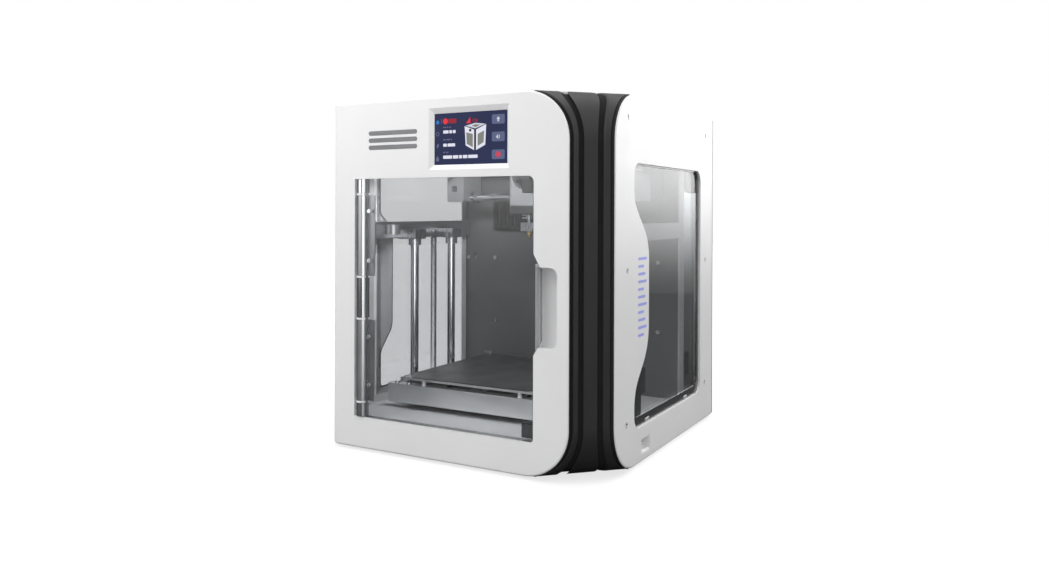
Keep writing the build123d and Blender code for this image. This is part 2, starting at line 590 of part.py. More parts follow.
# ------------------------------------------------------------- X/Y gantry
for k, x in enumerate(Y_ROD_X):
    with BuildPart() as idler:
        post(x, IDLER_Y, BELT_Z0 - 2.6, BELT_Z1 + 2.6, PULLEY_R - 0.2)
        post(x, IDLER_Y, BELT_Z0 - 2.6, BELT_Z0 - 1.0, PULLEY_R + 1.4)
        post(x, IDLER_Y, BELT_Z1 + 1.0, BELT_Z1 + 2.6, PULLEY_R + 1.4)
        post(x, IDLER_Y, 0, H, 2.5 + FIT, Mode.SUBTRACT)
    save(idler, ("left_idler", "right_idler")[k])
    with BuildPart() as pulley:
        post(x, MOTOR_Y, BELT_Z0 - 2.6, BELT_Z1 + 2.6, PULLEY_R - 0.2)
        post(x, MOTOR_Y, BELT_Z0 - 2.6, BELT_Z0 - 1.0, PULLEY_R + 1.4)
        post(x, MOTOR_Y, BELT_Z1 + 1.0, BELT_Z1 + 2.6, PULLEY_R + 1.4)
        with Locations(at(x, MOTOR_Y, (BELT_Z0 + BELT_Z1) / 2)):
            with PolarLocations(PULLEY_R + 0.3, 24):
                Cylinder(0.7, BELT_Z1 - BELT_Z0 + 2, mode=Mode.SUBTRACT)
        post(x, MOTOR_Y, 0, H, 2.5 + FIT, Mode.SUBTRACT)
    save(pulley, ("left_pulley", "right_pulley")[k])
with BuildPart() as stepper_motors:
    box(Z_ROD_X - 21, SCREW_Y - 21, PB + 3, Z_ROD_X + 21, SCREW_Y + 21, FLOOR_Z - 3)
    for x in Y_ROD_X:
        box(x - 21, MOTOR_Y - 21, 300, x + 21, MOTOR_Y + 21, 338)
    chamfer(stepper_motors.edges().filter_by(Axis.Z), 3)
    post(Z_ROD_X, SCREW_Y, FLOOR_Z - 3, FLOOR_Z, 11)
    post(Z_ROD_X, SCREW_Y, 20, FLOOR_Z + 2, SCREW_R + FIT, Mode.SUBTRACT)
    for x in Y_ROD_X:
        post(x, MOTOR_Y, 338, 340, 11)
        post(x, MOTOR_Y, 340, BELT_Z1 + 4, 2.5)
save(stepper_motors, "stepper_motors")
with BuildPart() as motor_brackets:
    box(WALL_X - 1.5, 276, 338, 57, 322, 341)
    box(285, 276, 338, W - WALL_X + 1.5, 322, 341)
    box(WALL_X - 4, 276, 296, WALL_X - 1.5, 322, 341)
    box(W - WALL_X + 1.5, 276, 296, W - WALL_X + 4, 322, 341)
    for x in Y_ROD_X:
        post(x, MOTOR_Y, 330, 345, 11.5, Mode.SUBTRACT)
save(motor_brackets, "motor_brackets")
with BuildPart() as drive_belts:
    for x in Y_ROD_X:
        with BuildSketch(plan(BELT_Z0)) as s:
            rect(x - PULLEY_R - BELT_T, IDLER_Y, x + PULLEY_R + BELT_T, MOTOR_Y)
            with Locations((x, IDLER_Y), (x, MOTOR_Y)):
                Circle(PULLEY_R + BELT_T)
            rect(x - PULLEY_R - 0.1, IDLER_Y, x + PULLEY_R + 0.1, MOTOR_Y, Mode.SUBTRACT)
            with Locations((x, IDLER_Y), (x, MOTOR_Y)):
                Circle(PULLEY_R + 0.1, mode=Mode.SUBTRACT)
        extrude(amount=BELT_Z1 - BELT_Z0)
save(drive_belts, "drive_belts")

with BuildPart() as beam_carriages:
    box(26, 200, 284.5, 52, 244, 345)
    box(290, 200, 284.5, 316, 244, 345)
    fillet(beam_carriages.edges().filter_by(Axis.Y), 2.5)
    for x in Y_ROD_X:
        bar_y(x, Y_ROD_Z, 190, 250, ROD_R + FIT, Mode.SUBTRACT)
    for z in X_ROD_Z:
        bar_x(X_ROD_Y, z, 43, 299, ROD_R, Mode.SUBTRACT)
    box(33.6, 190, 298, 41.2, 250, 305.6, Mode.SUBTRACT)
    # belt clamps beside the inner strands
    box(46.0, 212, 340, 50.0, 232, BELT_Z1 + 1)
    box(292.0, 212, 340, 296.0, 232, BELT_Z1 + 1)
save(beam_carriages, "beam_carriages")
with BuildPart() as x_rods:
    for z in X_ROD_Z:
        bar_x(X_ROD_Y, z, 43, 299, ROD_R)
save(x_rods, "x_rods")

# --------------------------------------------------------------- tool head
with BuildPart() as head_carriage:
    box(HEAD_X0, 207, 284.5, HEAD_X1, 238, 345)
    fillet(head_carriage.edges().filter_by(Axis.X), 3)
    for z in X_ROD_Z:
        bar_x(X_ROD_Y, z, 100, 240, ROD_R + FIT, Mode.SUBTRACT)
save(head_carriage, "head_carriage")
with BuildPart() as head_cover:
    box(HEAD_X0 + 2, 174, 268, HEAD_X1 - 2, 207, 344)
    fillet(head_cover.edges().filter_by(Axis.Z).group_by(Axis.Y)[0], 6)
    fillet(head_cover.faces().sort_by(Axis.Y)[0].edges(), 2)
    box(HEAD_X0 + 4, 185, 260, HEAD_X1 - 4, 208, 342, Mode.SUBTRACT)
    bar_y(159, 317, 170, 186, 17.5, Mode.SUBTRACT)
    # part cooling duct below the cover
    with BuildSketch(front(186)):
        with BuildLine():
            Polyline((168, 284.4), (180, 284.4), (180, 262), (166, 243), (162.5, 243),
                     (168, 262), close=True)
        make_face()
    extrude(amount=-16)
save(head_cover, "head_cover")
with BuildPart() as head_fan:
    bar_y(159, 317, 175.5, 184, 7)
    with Locations(Location((159 - XC, 180 - YC, 317), (90, 0, 0))):
        with PolarLocations(11.5, 7):
            Box(10, 1.6, 7, rotation=(30, 0, 0))
save(head_fan, "head_fan")
with BuildPart() as extruder_motor:
    bar_y(159, 317, 190, 206.9, 17)
    bar_y(159, 317, 186.5, 190, 6)
save(extruder_motor, "extruder_motor")
with BuildPart() as hot_end:
    post(NOZZLE_X, NOZZLE_Y, 262, 284.4, 4)
    for i in range(6):
        post(NOZZLE_X, NOZZLE_Y, 263 + 3.6 * i, 264.8 + 3.6 * i, 9.5)
    post(NOZZLE_X, NOZZLE_Y, 257, 263, 2.2)
    box(NOZZLE_X - 8, NOZZLE_Y - 9, 247, NOZZLE_X + 12, NOZZLE_Y + 7, 258)
save(hot_end, "hot_end")
with BuildPart() as nozzle:
    with BuildSketch(Plane(origin=(NOZZLE_X - XC, NOZZLE_Y - YC, 0), x_dir=(1, 0, 0),
                           z_dir=(0, -1, 0))):
        with BuildLine():
            Polyline((0, NOZZLE_Z), (0.6, NOZZLE_Z), (2.6, NOZZLE_Z + 3.2), (3.6, NOZZLE_Z + 3.4),
                     (3.6, 247), (0, 247), close=True)
        make_face()
    revolve(axis=Axis((NOZZLE_X - XC, NOZZLE_Y - YC, 0), (0, 0, 1)))
save(nozzle, "nozzle")
# ---------------------------------------------------- back and electronics
with BuildPart() as exhaust_fan:
    with BuildSketch(front(D - 18)) as s:
        rect(FAN_X - 35, FAN_Z - 35, FAN_X + 35, FAN_Z + 35)
        fillet(s.vertices(), 4)
        with Locations((FAN_X, FAN_Z)):
            Circle(32, mode=Mode.SUBTRACT)
    extrude(amount=-15)
    bar_y(FAN_X, FAN_Z, D - 18, D - 16.5, 12)
    box(FAN_X - 33, D - 18, FAN_Z - 2, FAN_X + 33, D - 16.5, FAN_Z + 2)
    bar_y(FAN_X, FAN_Z, D - 20, D - 5, 2, Mode.SUBTRACT)
save(exhaust_fan, "exhaust_fan")
with BuildPart() as exhaust_rotor:
    bar_y(FAN_X, FAN_Z, D - 15.5, D - 5, 12)
    with Locations(Location((FAN_X - XC, D - 10.2 - YC, FAN_Z), (90, 0, 0))):
        with PolarLocations(21, 9):
            Box(19, 1.8, 9, rotation=(32, 0, 0))
save(exhaust_rotor, "exhaust_rotor")
with BuildPart() as power_inlet:
    box(262.1, D - 22, 56.1, 309.9, D, 83.9)
    box(224.1, D - 18, 56.1, 245.9, D, 83.9)
    box(220, D, 52, 314, D + 1.8, 88)
    box(273, D - 14, 61, 299, D + 3, 79, Mode.SUBTRACT)
    box(226, D - 16, 58, 244, D + 3, 82, Mode.SUBTRACT)
    for x in (280, 286, 292):
        box(x - 1, D - 15, 66, x + 1, D - 6, 74)
save(power_inlet, "power_inlet")
with BuildPart() as power_rocker:
    with BuildSketch(side(226.6)):
        with BuildLine():
            Polyline((D - 8.0, 59.6), (D + 3.4, 59.2), (D + 0.6, 70), (D + 1.2, 80.8),
                     (D - 8.0, 80.4), (D - 11.0, 70), close=True)
        make_face()
    extrude(amount=16.8)
save(power_rocker, "power_rocker")
with BuildPart() as usb_port:
    box(W - 14, 107.2, 11.5, W - 0.6, 132.5, 27.9)
    box(W - 12, 108.6, 12.9, W + 1, 131.1, 26.5, Mode.SUBTRACT)
    box(W - 12, 113, 16, W - 4, 127, 23)
    box(W - 11, 113.8, 16.8, W - 3, 126.2, 22.2, Mode.SUBTRACT)
    box(W - 11, 114.5, 18.5, W - 5, 125.5, 20)
save(usb_port, "usb_port")
with BuildPart() as power_supply:
    box(90, 120, PB + 3, 250, 220, FLOOR_Z - 2)
save(power_supply, "power_supply")
with BuildPart() as mainboard:
    box(90, 286, 120, 220, 288, 220)
    for x, z in ((110, 140), (150, 150), (190, 190), (120, 195), (175, 135)):
        box(x - 8, 279, z - 7, x + 8, 286, z + 7)
    for x, z in ((94, 124), (216, 124), (94, 216), (216, 216)):
        bar_y(x, z, BACK_Y + 1.5, 286, 3)
save(mainboard, "mainboard")
with BuildPart() as light_bar:
    box(70, 5, 384 - 8, 132, 12, 384)
save(light_bar, "light_bar")
with BuildPart() as spool_holder:
    box(60, D, 150, 100, D + 5, 200)
    fillet(spool_holder.edges().filter_by(Axis.Y), 5)
    bar_y(80, 178, D + 5, D + 9, 17)
    bar_y(80, 178, D + 9, Y_MAX, 14)
    bar_y(80, 178, Y_MAX - 4, Y_MAX, 14)
    bar_y(80, 178, D + 12, Y_MAX + 1, 11.5, Mode.SUBTRACT)
save(spool_holder, "spool_holder")
with BuildPart() as filament_inlet:
    bar_y(252, 352, D - 10, D, 6)
    bar_y(252, 352, D, D + 2, 9)
    bar_y(252, 352, D + 2, D + 12, 5)
    bar_y(252, 352, D - 12, D + 20, 1.2, Mode.SUBTRACT)
save(filament_inlet, "filament_inlet")
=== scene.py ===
import math

import bmesh
import bpy
from mathutils import Matrix, Vector


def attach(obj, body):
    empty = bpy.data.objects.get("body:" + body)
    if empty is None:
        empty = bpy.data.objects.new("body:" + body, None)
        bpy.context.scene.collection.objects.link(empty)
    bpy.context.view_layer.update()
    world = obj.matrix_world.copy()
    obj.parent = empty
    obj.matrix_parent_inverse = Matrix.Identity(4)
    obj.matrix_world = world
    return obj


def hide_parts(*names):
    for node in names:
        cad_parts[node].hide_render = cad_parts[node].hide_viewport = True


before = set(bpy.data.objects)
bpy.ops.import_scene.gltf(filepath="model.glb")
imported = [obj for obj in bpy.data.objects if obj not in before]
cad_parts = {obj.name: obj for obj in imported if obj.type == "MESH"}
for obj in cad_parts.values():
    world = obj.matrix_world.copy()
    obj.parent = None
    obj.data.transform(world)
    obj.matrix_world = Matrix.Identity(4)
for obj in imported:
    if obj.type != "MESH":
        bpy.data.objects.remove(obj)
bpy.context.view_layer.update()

# Corner coordinates in millimetres: x 0 to 342 across the shell, y 0 at the front face, z 0 on the table.
W, D, H = 342.0, 363.0, 396.0
XC, YC = 171.0, 222.36
S = bpy.context.scene


def V(x, y, z):
    return Vector(((x - XC) / 1000, (y - YC) / 1000, z / 1000))


def lin(r, g, b):
    """Linear colour of an 8-bit screen colour."""
    return tuple(((c / 255 + 0.055) / 1.055) ** 2.4 if c > 10 else c / 255 / 12.92 for c in (r, g, b)) + (1.0,)


# ------------------------------------------------------------------ camera
cam_data = bpy.data.cameras.new("camera")
cam = bpy.data.objects.new("camera", cam_data)
S.collection.objects.link(cam)
cam.location = (0.51214, -0.98814, 0.27305)
ROLL = 0.189
cam.rotation_euler = (
    Matrix.Rotation(math.radians(29.119), 3, "Z")
    @ Matrix.Rotation(math.radians(90), 3, "X")
    @ Matrix.Rotation(math.radians(ROLL), 3, "Z")
).to_euler()
cam_data.sensor_fit = "HORIZONTAL"
cam_data.sensor_width = 36.0
cam_data.lens = 862.622 / 1049 * 36
cam_data.shift_x = 0.0
cam_data.shift_y = -(285.5 - 210.764) / 1049
cam_data.clip_start, cam_data.clip_end = 0.01, 50
S.camera = cam


# --------------------------------------------------------------- materials
class Mat:
    """A small builder for a node material. Coordinates are the object's own, in metres."""

    def __init__(self, name):
        self.m = bpy.data.materials.new(name)
        self.m.use_nodes = True
        self.t = self.m.node_tree
        self.t.nodes.clear()
        self.out = self.n("ShaderNodeOutputMaterial")
        self.co = self.n("ShaderNodeTexCoord")

    def n(self, kind, inputs=None, **props):
        x = self.t.nodes.new(kind)
        for k, v in props.items():
            setattr(x, k, v)
        for k, v in (inputs or {}).items():
            self.put(x, k, v)
        return x

    def put(self, node, key, v):
        if isinstance(v, bpy.types.NodeSocket):
            self.t.links.new(v, node.inputs[key])
        elif isinstance(v, bpy.types.Node):
            self.t.links.new(v.outputs[0], node.inputs[key])
        else:
            if isinstance(v, tuple) and len(v) == 3 and node.inputs[key].type == "RGBA":
                v = v + (1.0,)
            node.inputs[key].default_value = v

    def where(self, stretch=(1, 1, 1)):
        return self.n("ShaderNodeMapping", {"Vector": self.co.outputs["Object"], "Scale": stretch})

    def noise(self, scale, detail=3.0, rough=0.5, stretch=(1, 1, 1)):
        return self.n("ShaderNodeTexNoise", {
            "Vector": self.where(stretch), "Scale": scale, "Detail": detail, "Roughness": rough}).outputs[0]

    def cells(self, scale, feature="F1", stretch=(1, 1, 1)):
        return self.n("ShaderNodeTexVoronoi", {"Vector": self.where(stretch), "Scale": scale},
                      feature=feature).outputs[0]

    def span(self, v, a, b, lo=0.0, hi=1.0):
        return self.n("ShaderNodeMapRange", {
            "Value": v, "From Min": a, "From Max": b, "To Min": lo, "To Max": hi}).outputs[0]

    def math(self, op, a, b=0.0):
        return self.n("ShaderNodeMath", {0: a, 1: b}, operation=op).outputs[0]

    def mix(self, fac, a, b):
        x = self.n("ShaderNodeMix", data_type="RGBA")
        for i, v in ((0, fac), (6, a), (7, b)):
            self.put(x, i, v)
        return x.outputs[2]

    def bump(self, height, distance, strength=1.0, under=None):
        x = self.n("ShaderNodeBump", {"Height": height, "Distance": distance, "Strength": strength})
        if under is not None:
            self.put(x, "Normal", under)
        return x.outputs[0]

    def soft(self, radius):
        """Slightly rounded look on every hard edge."""
        return self.n("ShaderNodeBevel", {"Radius": radius}, samples=4).outputs[0]

    def shade(self, **inputs):
        names = {k.replace("_", " "): v for k, v in inputs.items()}
        names = {("IOR" if k == "ior" else "Specular IOR Level" if k == "spec" else k.title()): v
                 for k, v in names.items()}
        return self.n("ShaderNodeBsdfPrincipled", names)

    def done(self, shader):
        self.t.links.new(shader.outputs[0], self.out.inputs[0])
        return self.m


def dull(col, k):
    return tuple(min(1.0, c * k) for c in col[:3]) + (1.0,)


def plastic(name, col, rough=0.45, grain=1800, depth=0.00002, vary=0.05, spec=0.5, coat=0.0,
            coat_rough=0.3, edge=0.0):
    """Moulded plastic: fine spark texture, slow colour drift, uneven gloss from handling."""
    k = Mat(name)
    drift = k.span(k.noise(9, 2), 0.35, 0.65)
    speck = k.span(k.noise(grain * 0.55, 2), 0.3, 0.7)
    base = k.mix(drift, dull(col, 1 - vary), dull(col, 1 + vary))
    base = k.mix(k.math("MULTIPLY", speck, vary * 2), base, dull(col, 1 - 2 * vary))
    smudge = k.span(k.noise(34, 4, 0.62), 0.3, 0.75, rough - 0.05, rough + 0.07)
    nrm = k.bump(k.noise(grain, 3, 0.6), depth, 0.5, k.soft(edge) if edge else None)
    return k.done(k.shade(base_color=base, roughness=smudge, normal=nrm, spec=spec,
                          coat_weight=coat, coat_roughness=coat_rough))


def metal(name, col, rough=0.3, stretch=(1, 1, 40), scale=900, depth=0.000012, vary=0.06,
          edge=0.0, wear=0.10):
    """Drawn or brushed metal: fine lines along one axis, cloudy gloss."""
    k = Mat(name)
    lines = k.noise(scale, 3, 0.6, tuple(1 / s for s in stretch))
    cloud = k.span(k.noise(26, 3), 0.3, 0.7)
    base = k.mix(lines, dull(col, 1 - vary), dull(col, 1 + vary))
    base = k.mix(k.math("MULTIPLY", cloud, 0.18), base, dull(col, 0.82))
    r = k.math("ADD", k.span(lines, 0.3, 0.7, rough - wear * 0.5, rough + wear * 0.5),
               k.math("MULTIPLY", cloud, wear * 0.5))
    nrm = k.bump(lines, depth, 0.4, k.soft(edge) if edge else None)
    return k.done(k.shade(base_color=base, metallic=1.0, roughness=r, normal=nrm))


def coated(name, col, rough=0.5, scale=2600, depth=0.00004, vary=0.06, spec=0.4, edge=0.0):
    """Powder coat on sheet steel: small orange peel and faint dust."""
    k = Mat(name)
    peel = k.noise(scale * 0.5, 2, 0.5)
    drift = k.span(k.noise(12, 3), 0.3, 0.7)
    base = k.mix(drift, dull(col, 1 - vary), dull(col, 1 + vary))
    base = k.mix(k.span(k.cells(scale), 0.0, 0.5, 0.0, vary), base, dull(col, 1.5))
    r = k.span(k.noise(70, 3), 0.3, 0.7, rough - 0.06, rough + 0.06)
    return k.done(k.shade(base_color=base, roughness=r, spec=spec,
                          normal=k.bump(peel, depth, 0.45, k.soft(edge) if edge else None)))


def pane(name, tint, body, edge_axis=None, haze=0.02, gloss=0.9, rough=0.03):
    """Clear sheet: transparent with a fresnel reflection, finger haze and darker cut edges."""
    k = Mat(name)
    clear = k.n("ShaderNodeBsdfTransparent", {"Color": tint})
    smudge = k.span(k.noise(22, 5, 0.65), 0.42, 0.8, 0.0, haze)
    skin = k.shade(base_color=body, metallic=0.0, roughness=k.span(k.noise(40, 4), 0.3, 0.8, rough, rough + 0.05),
                   spec=0.5, coat_weight=0.0,
                   normal=k.bump(k.noise(5, 2), 0.0004, 0.12))
    facing = k.n("ShaderNodeLayerWeight", {"Blend": 0.5}).outputs["Facing"]
    fres = k.math("ADD", k.math("MULTIPLY", k.math("POWER", facing, 5.0), 0.96), 0.04)
    mirror = k.n("ShaderNodeBsdfAnisotropic", {"Color": (1, 1, 1, 1), "Roughness": rough,
                                               "Normal": k.bump(k.noise(5, 2), 0.0004, 0.06)})
    clear = k.n("ShaderNodeMixShader", {0: k.math("MULTIPLY", fres, gloss), 1: clear, 2: mirror})
    fac = smudge
    if edge_axis is not None:
        sep = k.n("ShaderNodeSeparateXYZ", {0: k.co.outputs["Normal"]}).outputs[edge_axis]
        side = k.math("LESS_THAN", k.math("ABSOLUTE", sep), 0.6)
        fac = k.math("MAXIMUM", fac, k.math("MULTIPLY", side, 0.72))
    m = k.n("ShaderNodeMixShader", {0: fac, 1: clear, 2: skin})
    k.m.use_backface_culling = False
    return k.done(m)


def lit(name, col, strength=1.0, base=(0.0, 0.0, 0.0, 1.0)):
    """A lit pixel area, with a very fine dot grid."""
    k = Mat(name)
    grid = k.span(k.cells(3200), 0.0, 0.7, 1.0, 0.86)
    tone = k.mix(grid, dull(col, 0.84), col)
    return k.done(k.shade(base_color=base, roughness=0.3, spec=0.15, emission_color=tone,
                          emission_strength=strength))


WHITE = plastic("white_shell", (0.80, 0.80, 0.805), rough=0.36, grain=2400, depth=0.000012, vary=0.012,
                spec=0.45, coat=0.15, coat_rough=0.25)
# painted light: a lighter copy of the white plastic that brightens the shaded USB recess; the bed posts share it
WHITE_LIFTED = plastic("white_lifted", (0.90, 0.90, 0.91), rough=0.45, vary=0.02)
BLACK = plastic("black_trim", (0.016, 0.016, 0.017), rough=0.5, grain=1500, depth=0.00003, vary=0.10,
                spec=0.42)
BLACK_SOFT = plastic("black_fine", (0.02, 0.02, 0.022), rough=0.38, grain=2000, vary=0.10, spec=0.5,
                     edge=0.0003)
GREY = coated("chassis_grey", (0.235, 0.24, 0.245), rough=0.5, depth=0.00003)
LINER = coated("liner_grey", (0.50, 0.505, 0.51), rough=0.42, depth=0.00002, vary=0.04)
REAR = coated("rear_wall_grey", (0.100, 0.102, 0.104), rough=0.5, depth=0.00003)
TRAY = coated("tray_grey", (0.42, 0.425, 0.43), rough=0.48, vary=0.04)
CLEAR = pane("clear_acrylic", (0.82, 0.825, 0.83, 1), (0.3, 0.31, 0.32, 1), haze=0.02)
DOOR = pane("door_acrylic", (0.90, 0.905, 0.91, 1), (0.16, 0.17, 0.175, 1), edge_axis=1, haze=0.03)
SMOKE = pane("smoked_acrylic", (0.34, 0.355, 0.37, 1), (0.02, 0.022, 0.025, 1), edge_axis=2, haze=0.02)
RUBBER = plastic("gasket_rubber", (0.010, 0.010, 0.011), rough=0.68, grain=1200, depth=0.00005, vary=0.12,
                 spec=0.3)
GASKET = plastic("gasket_glossy", (0.010, 0.010, 0.011), rough=0.45, grain=1200, depth=0.00002, vary=0.12,
                 spec=0.4, coat=1.0, coat_rough=0.07)
CHROME = metal("polished_steel", (0.82, 0.83, 0.845), rough=0.13, scale=1500, depth=0.000003, vary=0.03,
               wear=0.05)
CHROME_Y = metal("polished_steel_y", (0.84, 0.845, 0.86), rough=0.12, stretch=(1, 60, 1), scale=1500,
                 depth=0.000003, vary=0.03, wear=0.05)
CHROME_X = metal("polished_steel_x", (0.84, 0.845, 0.86), rough=0.12, stretch=(60, 1, 1), scale=1500,
                 depth=0.000003, vary=0.03, wear=0.05)
STEEL = metal("turned_steel", (0.62, 0.63, 0.65), rough=0.26, scale=1200, depth=0.00001, edge=0.0002)
# painted light: this satin aluminium is set lighter than the one below, to brighten the shaded bed frame in the
# chamber
ALU = metal("satin_aluminium", (0.84, 0.845, 0.85), rough=0.42, stretch=(40, 1, 1), edge=0.0003)
ALU_Y = metal("satin_aluminium_y", (0.68, 0.685, 0.70), rough=0.36, stretch=(1, 50, 1), edge=0.0003)
BRASS = metal("brass", (0.72, 0.52, 0.22), rough=0.25, edge=0.0002)
BELT = plastic("belt_rubber", (0.018, 0.018, 0.019), rough=0.62, grain=1600, depth=0.00004, vary=0.15,
               spec=0.35)
MOTOR = coated("motor_black", (0.022, 0.022, 0.024), rough=0.45, vary=0.12, edge=0.0004)
GREYP = plastic("grey_plastic", (0.185, 0.188, 0.195), rough=0.46, vary=0.05, edge=0.0005)
HEADP = plastic("head_grey", (0.30, 0.305, 0.315), rough=0.46, vary=0.05, edge=0.0005)
HINGE_SATIN = metal("hinge_satin", (0.58, 0.585, 0.595), rough=0.32, scale=1500)
WASHER = plastic("nylon_washer", (0.90, 0.90, 0.905), rough=0.30, grain=2600, depth=0.00001, vary=0.02, coat=0.2)
BADGE = metal("badge_metal", (0.17, 0.172, 0.178), rough=0.34, stretch=(60, 1, 1), edge=0.0003)
ACCENT = plastic("accent_blue", (0.34, 0.36, 0.82), rough=0.4, vary=0.04)
GOLD = metal("contact_gold", (0.80, 0.60, 0.28), rough=0.22)
DIFFUSER = lit("light_diffuser", (0.95, 0.97, 1.0, 1), 1.2, (0.9, 0.9, 0.92, 1))
GREEN = coated("board_green", (0.02, 0.11, 0.055), rough=0.35, vary=0.15)


def plate_coat():
    """Spring steel plate with a speckled, slightly glittering dark coating."""
    k = Mat("brushed_plate")
    grit = k.cells(1500)
    fine = k.noise(2600, 2)
    base = k.mix(k.span(grit, 0.0, 0.55), (0.066, 0.066, 0.069, 1), (0.040, 0.040, 0.042, 1))
    base = k.mix(k.span(k.noise(11, 4), 0.45, 0.8, 0.0, 0.35), base, (0.085, 0.085, 0.088, 1))
    r = k.span(k.noise(30, 4), 0.3, 0.75, 0.34, 0.50)
    nrm = k.bump(grit, 0.00006, 0.5, k.bump(fine, 0.00003, 0.4))
    return k.done(k.shade(base_color=base, roughness=r, normal=nrm, spec=0.5, coat_weight=0.15,
                          coat_roughness=0.35))


def display():
    """Lit navy display under gloss glass, a little lighter towards the middle."""
    k = Mat("screen_glass")
    grid = k.span(k.cells(3000), 0.0, 0.7, 1.0, 0.9)
    cloud = k.span(k.noise(16, 1), 0.3, 0.7)
    tone = k.mix(cloud, (0.0125, 0.0185, 0.066, 1), (0.0165, 0.024, 0.078, 1))
    tone = k.mix(grid, dull((0.010, 0.015, 0.055), 1), tone)
    return k.done(k.shade(base_color=(0.002, 0.002, 0.004, 1), spec=0.10,
                          roughness=k.span(k.noise(45, 4), 0.3, 0.8, 0.10, 0.2),
                          emission_color=tone, emission_strength=1.0))


PLATE = plate_coat()
SCREEN = display()

def column():
    """Black corner trim: the same moulded black, with painted shade making the floor of its grooves darker, and that
    floor also duller.
    """
    k = Mat("column_black")
    sep = k.n("ShaderNodeSeparateXYZ", {0: k.co.outputs["Object"]})
    x, y, z = sep.outputs[0], sep.outputs[1], sep.outputs[2]
    # how far a point lies from the line that the column's face and its flared ends are both drawn about
    along = k.math("MULTIPLY", k.math("SUBTRACT", k.math("SUBTRACT", x, y), (YC - XC) / 1000), 0.70711)
    reach = k.math("DIVIDE", k.math("SUBTRACT", along, 0.2554 * 0.70711), 0.70711)
    rise = k.math("MAXIMUM", k.math("MAXIMUM", k.math("SUBTRACT", z, 0.344), k.math("SUBTRACT", 0.055, z)), 0.0)
    out = k.math("SQRT", k.math("ADD", k.math("MULTIPLY", reach, reach), k.math("MULTIPLY", rise, rise)))
    groove_shade = k.math("LESS_THAN", out, 0.052 - 0.0014)
    drift = k.span(k.noise(9, 2), 0.35, 0.65)
    base = k.mix(drift, (0.0165, 0.0165, 0.0175, 1), (0.0200, 0.0200, 0.0210, 1))
    # painted shade: near-black colour on the groove floor stands in for the shadow that falls inside the grooves
    base = k.mix(groove_shade, base, (0.0015, 0.0015, 0.0016, 1))
    smudge = k.math("ADD", k.span(k.noise(34, 4, 0.62), 0.3, 0.75, 0.45, 0.57), k.math("MULTIPLY", groove_shade, 0.4))
    return k.done(k.shade(base_color=base, roughness=smudge, spec=0.4,
                          normal=k.bump(k.noise(1500, 3, 0.6), 0.00003, 0.5)))


COLUMN = column()


def cover():
    """Grey head cover with its lower edge, round the part cooling outlet, in black."""
    k = Mat("head_cover_grey")
    z = k.n("ShaderNodeSeparateXYZ", {0: k.co.outputs["Object"]}).outputs[2]
    drift = k.span(k.noise(9, 2), 0.35, 0.65)
    base = k.mix(drift, (0.124, 0.126, 0.131, 1), (0.136, 0.138, 0.144, 1))
    base = k.mix(k.math("LESS_THAN", z, 0.2795), base, (0.018, 0.018, 0.019, 1))
    return k.done(k.shade(base_color=base, roughness=k.span(k.noise(34, 4, 0.62), 0.3, 0.75, 0.37, 0.49), spec=0.5,
                          normal=k.bump(k.noise(1800, 3, 0.6), 0.00002, 0.5, k.soft(0.0005))))


COVERP = cover()


def fitting():
    """Bright screws on the hinge side, dark magnet keepers on the free side, told apart by their place."""
    k = Mat("door_fitting")
    lines = k.noise(1100, 3)
    right = k.math("GREATER_THAN", k.n("ShaderNodeSeparateXYZ", {0: k.co.outputs["Object"]}).outputs[0], 0.0)
    base = k.mix(right, k.mix(lines, (0.80, 0.81, 0.83, 1), (0.90, 0.91, 0.92, 1)),
                 k.mix(lines, (0.075, 0.078, 0.08, 1), (0.13, 0.132, 0.135, 1)))
    return k.done(k.shade(base_color=base, metallic=k.span(right, 0.0, 1.0, 1.0, 0.0),
                          roughness=k.span(lines, 0.3, 0.7, 0.2, 0.34), normal=k.bump(lines, 0.00001, 0.4)))


FITTING = fitting()
FINISH = {
    WHITE: ["front_panel", "left_panel", "right_panel", "top_frame"],
    WHITE_LIFTED: ["usb_port"],
    FITTING: ["door_fittings"],
    COLUMN: ["corner_column"],
    BLACK: ["exhaust_rotor", "exhaust_fan", "filter_box"],
    BLACK_SOFT: ["lid_handle", "power_inlet", "power_rocker", "head_fan", "spool_holder",
                 "leveling_knobs", "door_magnets"],
    GREY: ["back_panel", "motor_brackets"],
    LINER: ["side_liners"],
    TRAY: ["base_tray", "chamber_floor"],
    REAR: ["rear_wall"],
    CLEAR: ["side_windows"],
    DOOR: ["door_panel"],
    SMOKE: ["top_lid"],
    GASKET: ["window_gaskets"],
    RUBBER: ["feet"],
    CHROME: ["hinge_frame_leaf", "guide_rods", "lead_screw"],
    HINGE_SATIN: ["hinge_door_leaf"],
    WASHER: ["hinge_pin"],
    CHROME_X: ["x_rods"],
    STEEL: ["case_screws", "z_bearings", "rod_mounts", "left_idler", "right_idler",
            "left_pulley", "right_pulley", "hot_end"],
    ALU: ["heated_bed", "bed_frame", "power_supply"],
    ALU_Y: ["side_rails", "bed_carriage"],
    GREYP: ["beam_carriages", "filament_inlet"],
    HEADP: ["head_carriage"],
    COVERP: ["head_cover"],
    PLATE: ["build_plate"],
    BRASS: ["lead_nut", "nozzle"],
    BELT: ["drive_belts"],
    MOTOR: ["stepper_motors", "extruder_motor"],
    SCREEN: ["touch_screen"],
    DIFFUSER: ["light_bar"],
    GREEN: ["mainboard"],
}
for m, names in FINISH.items():
    for name in names:
        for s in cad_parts[name].material_slots:
            s.material = m


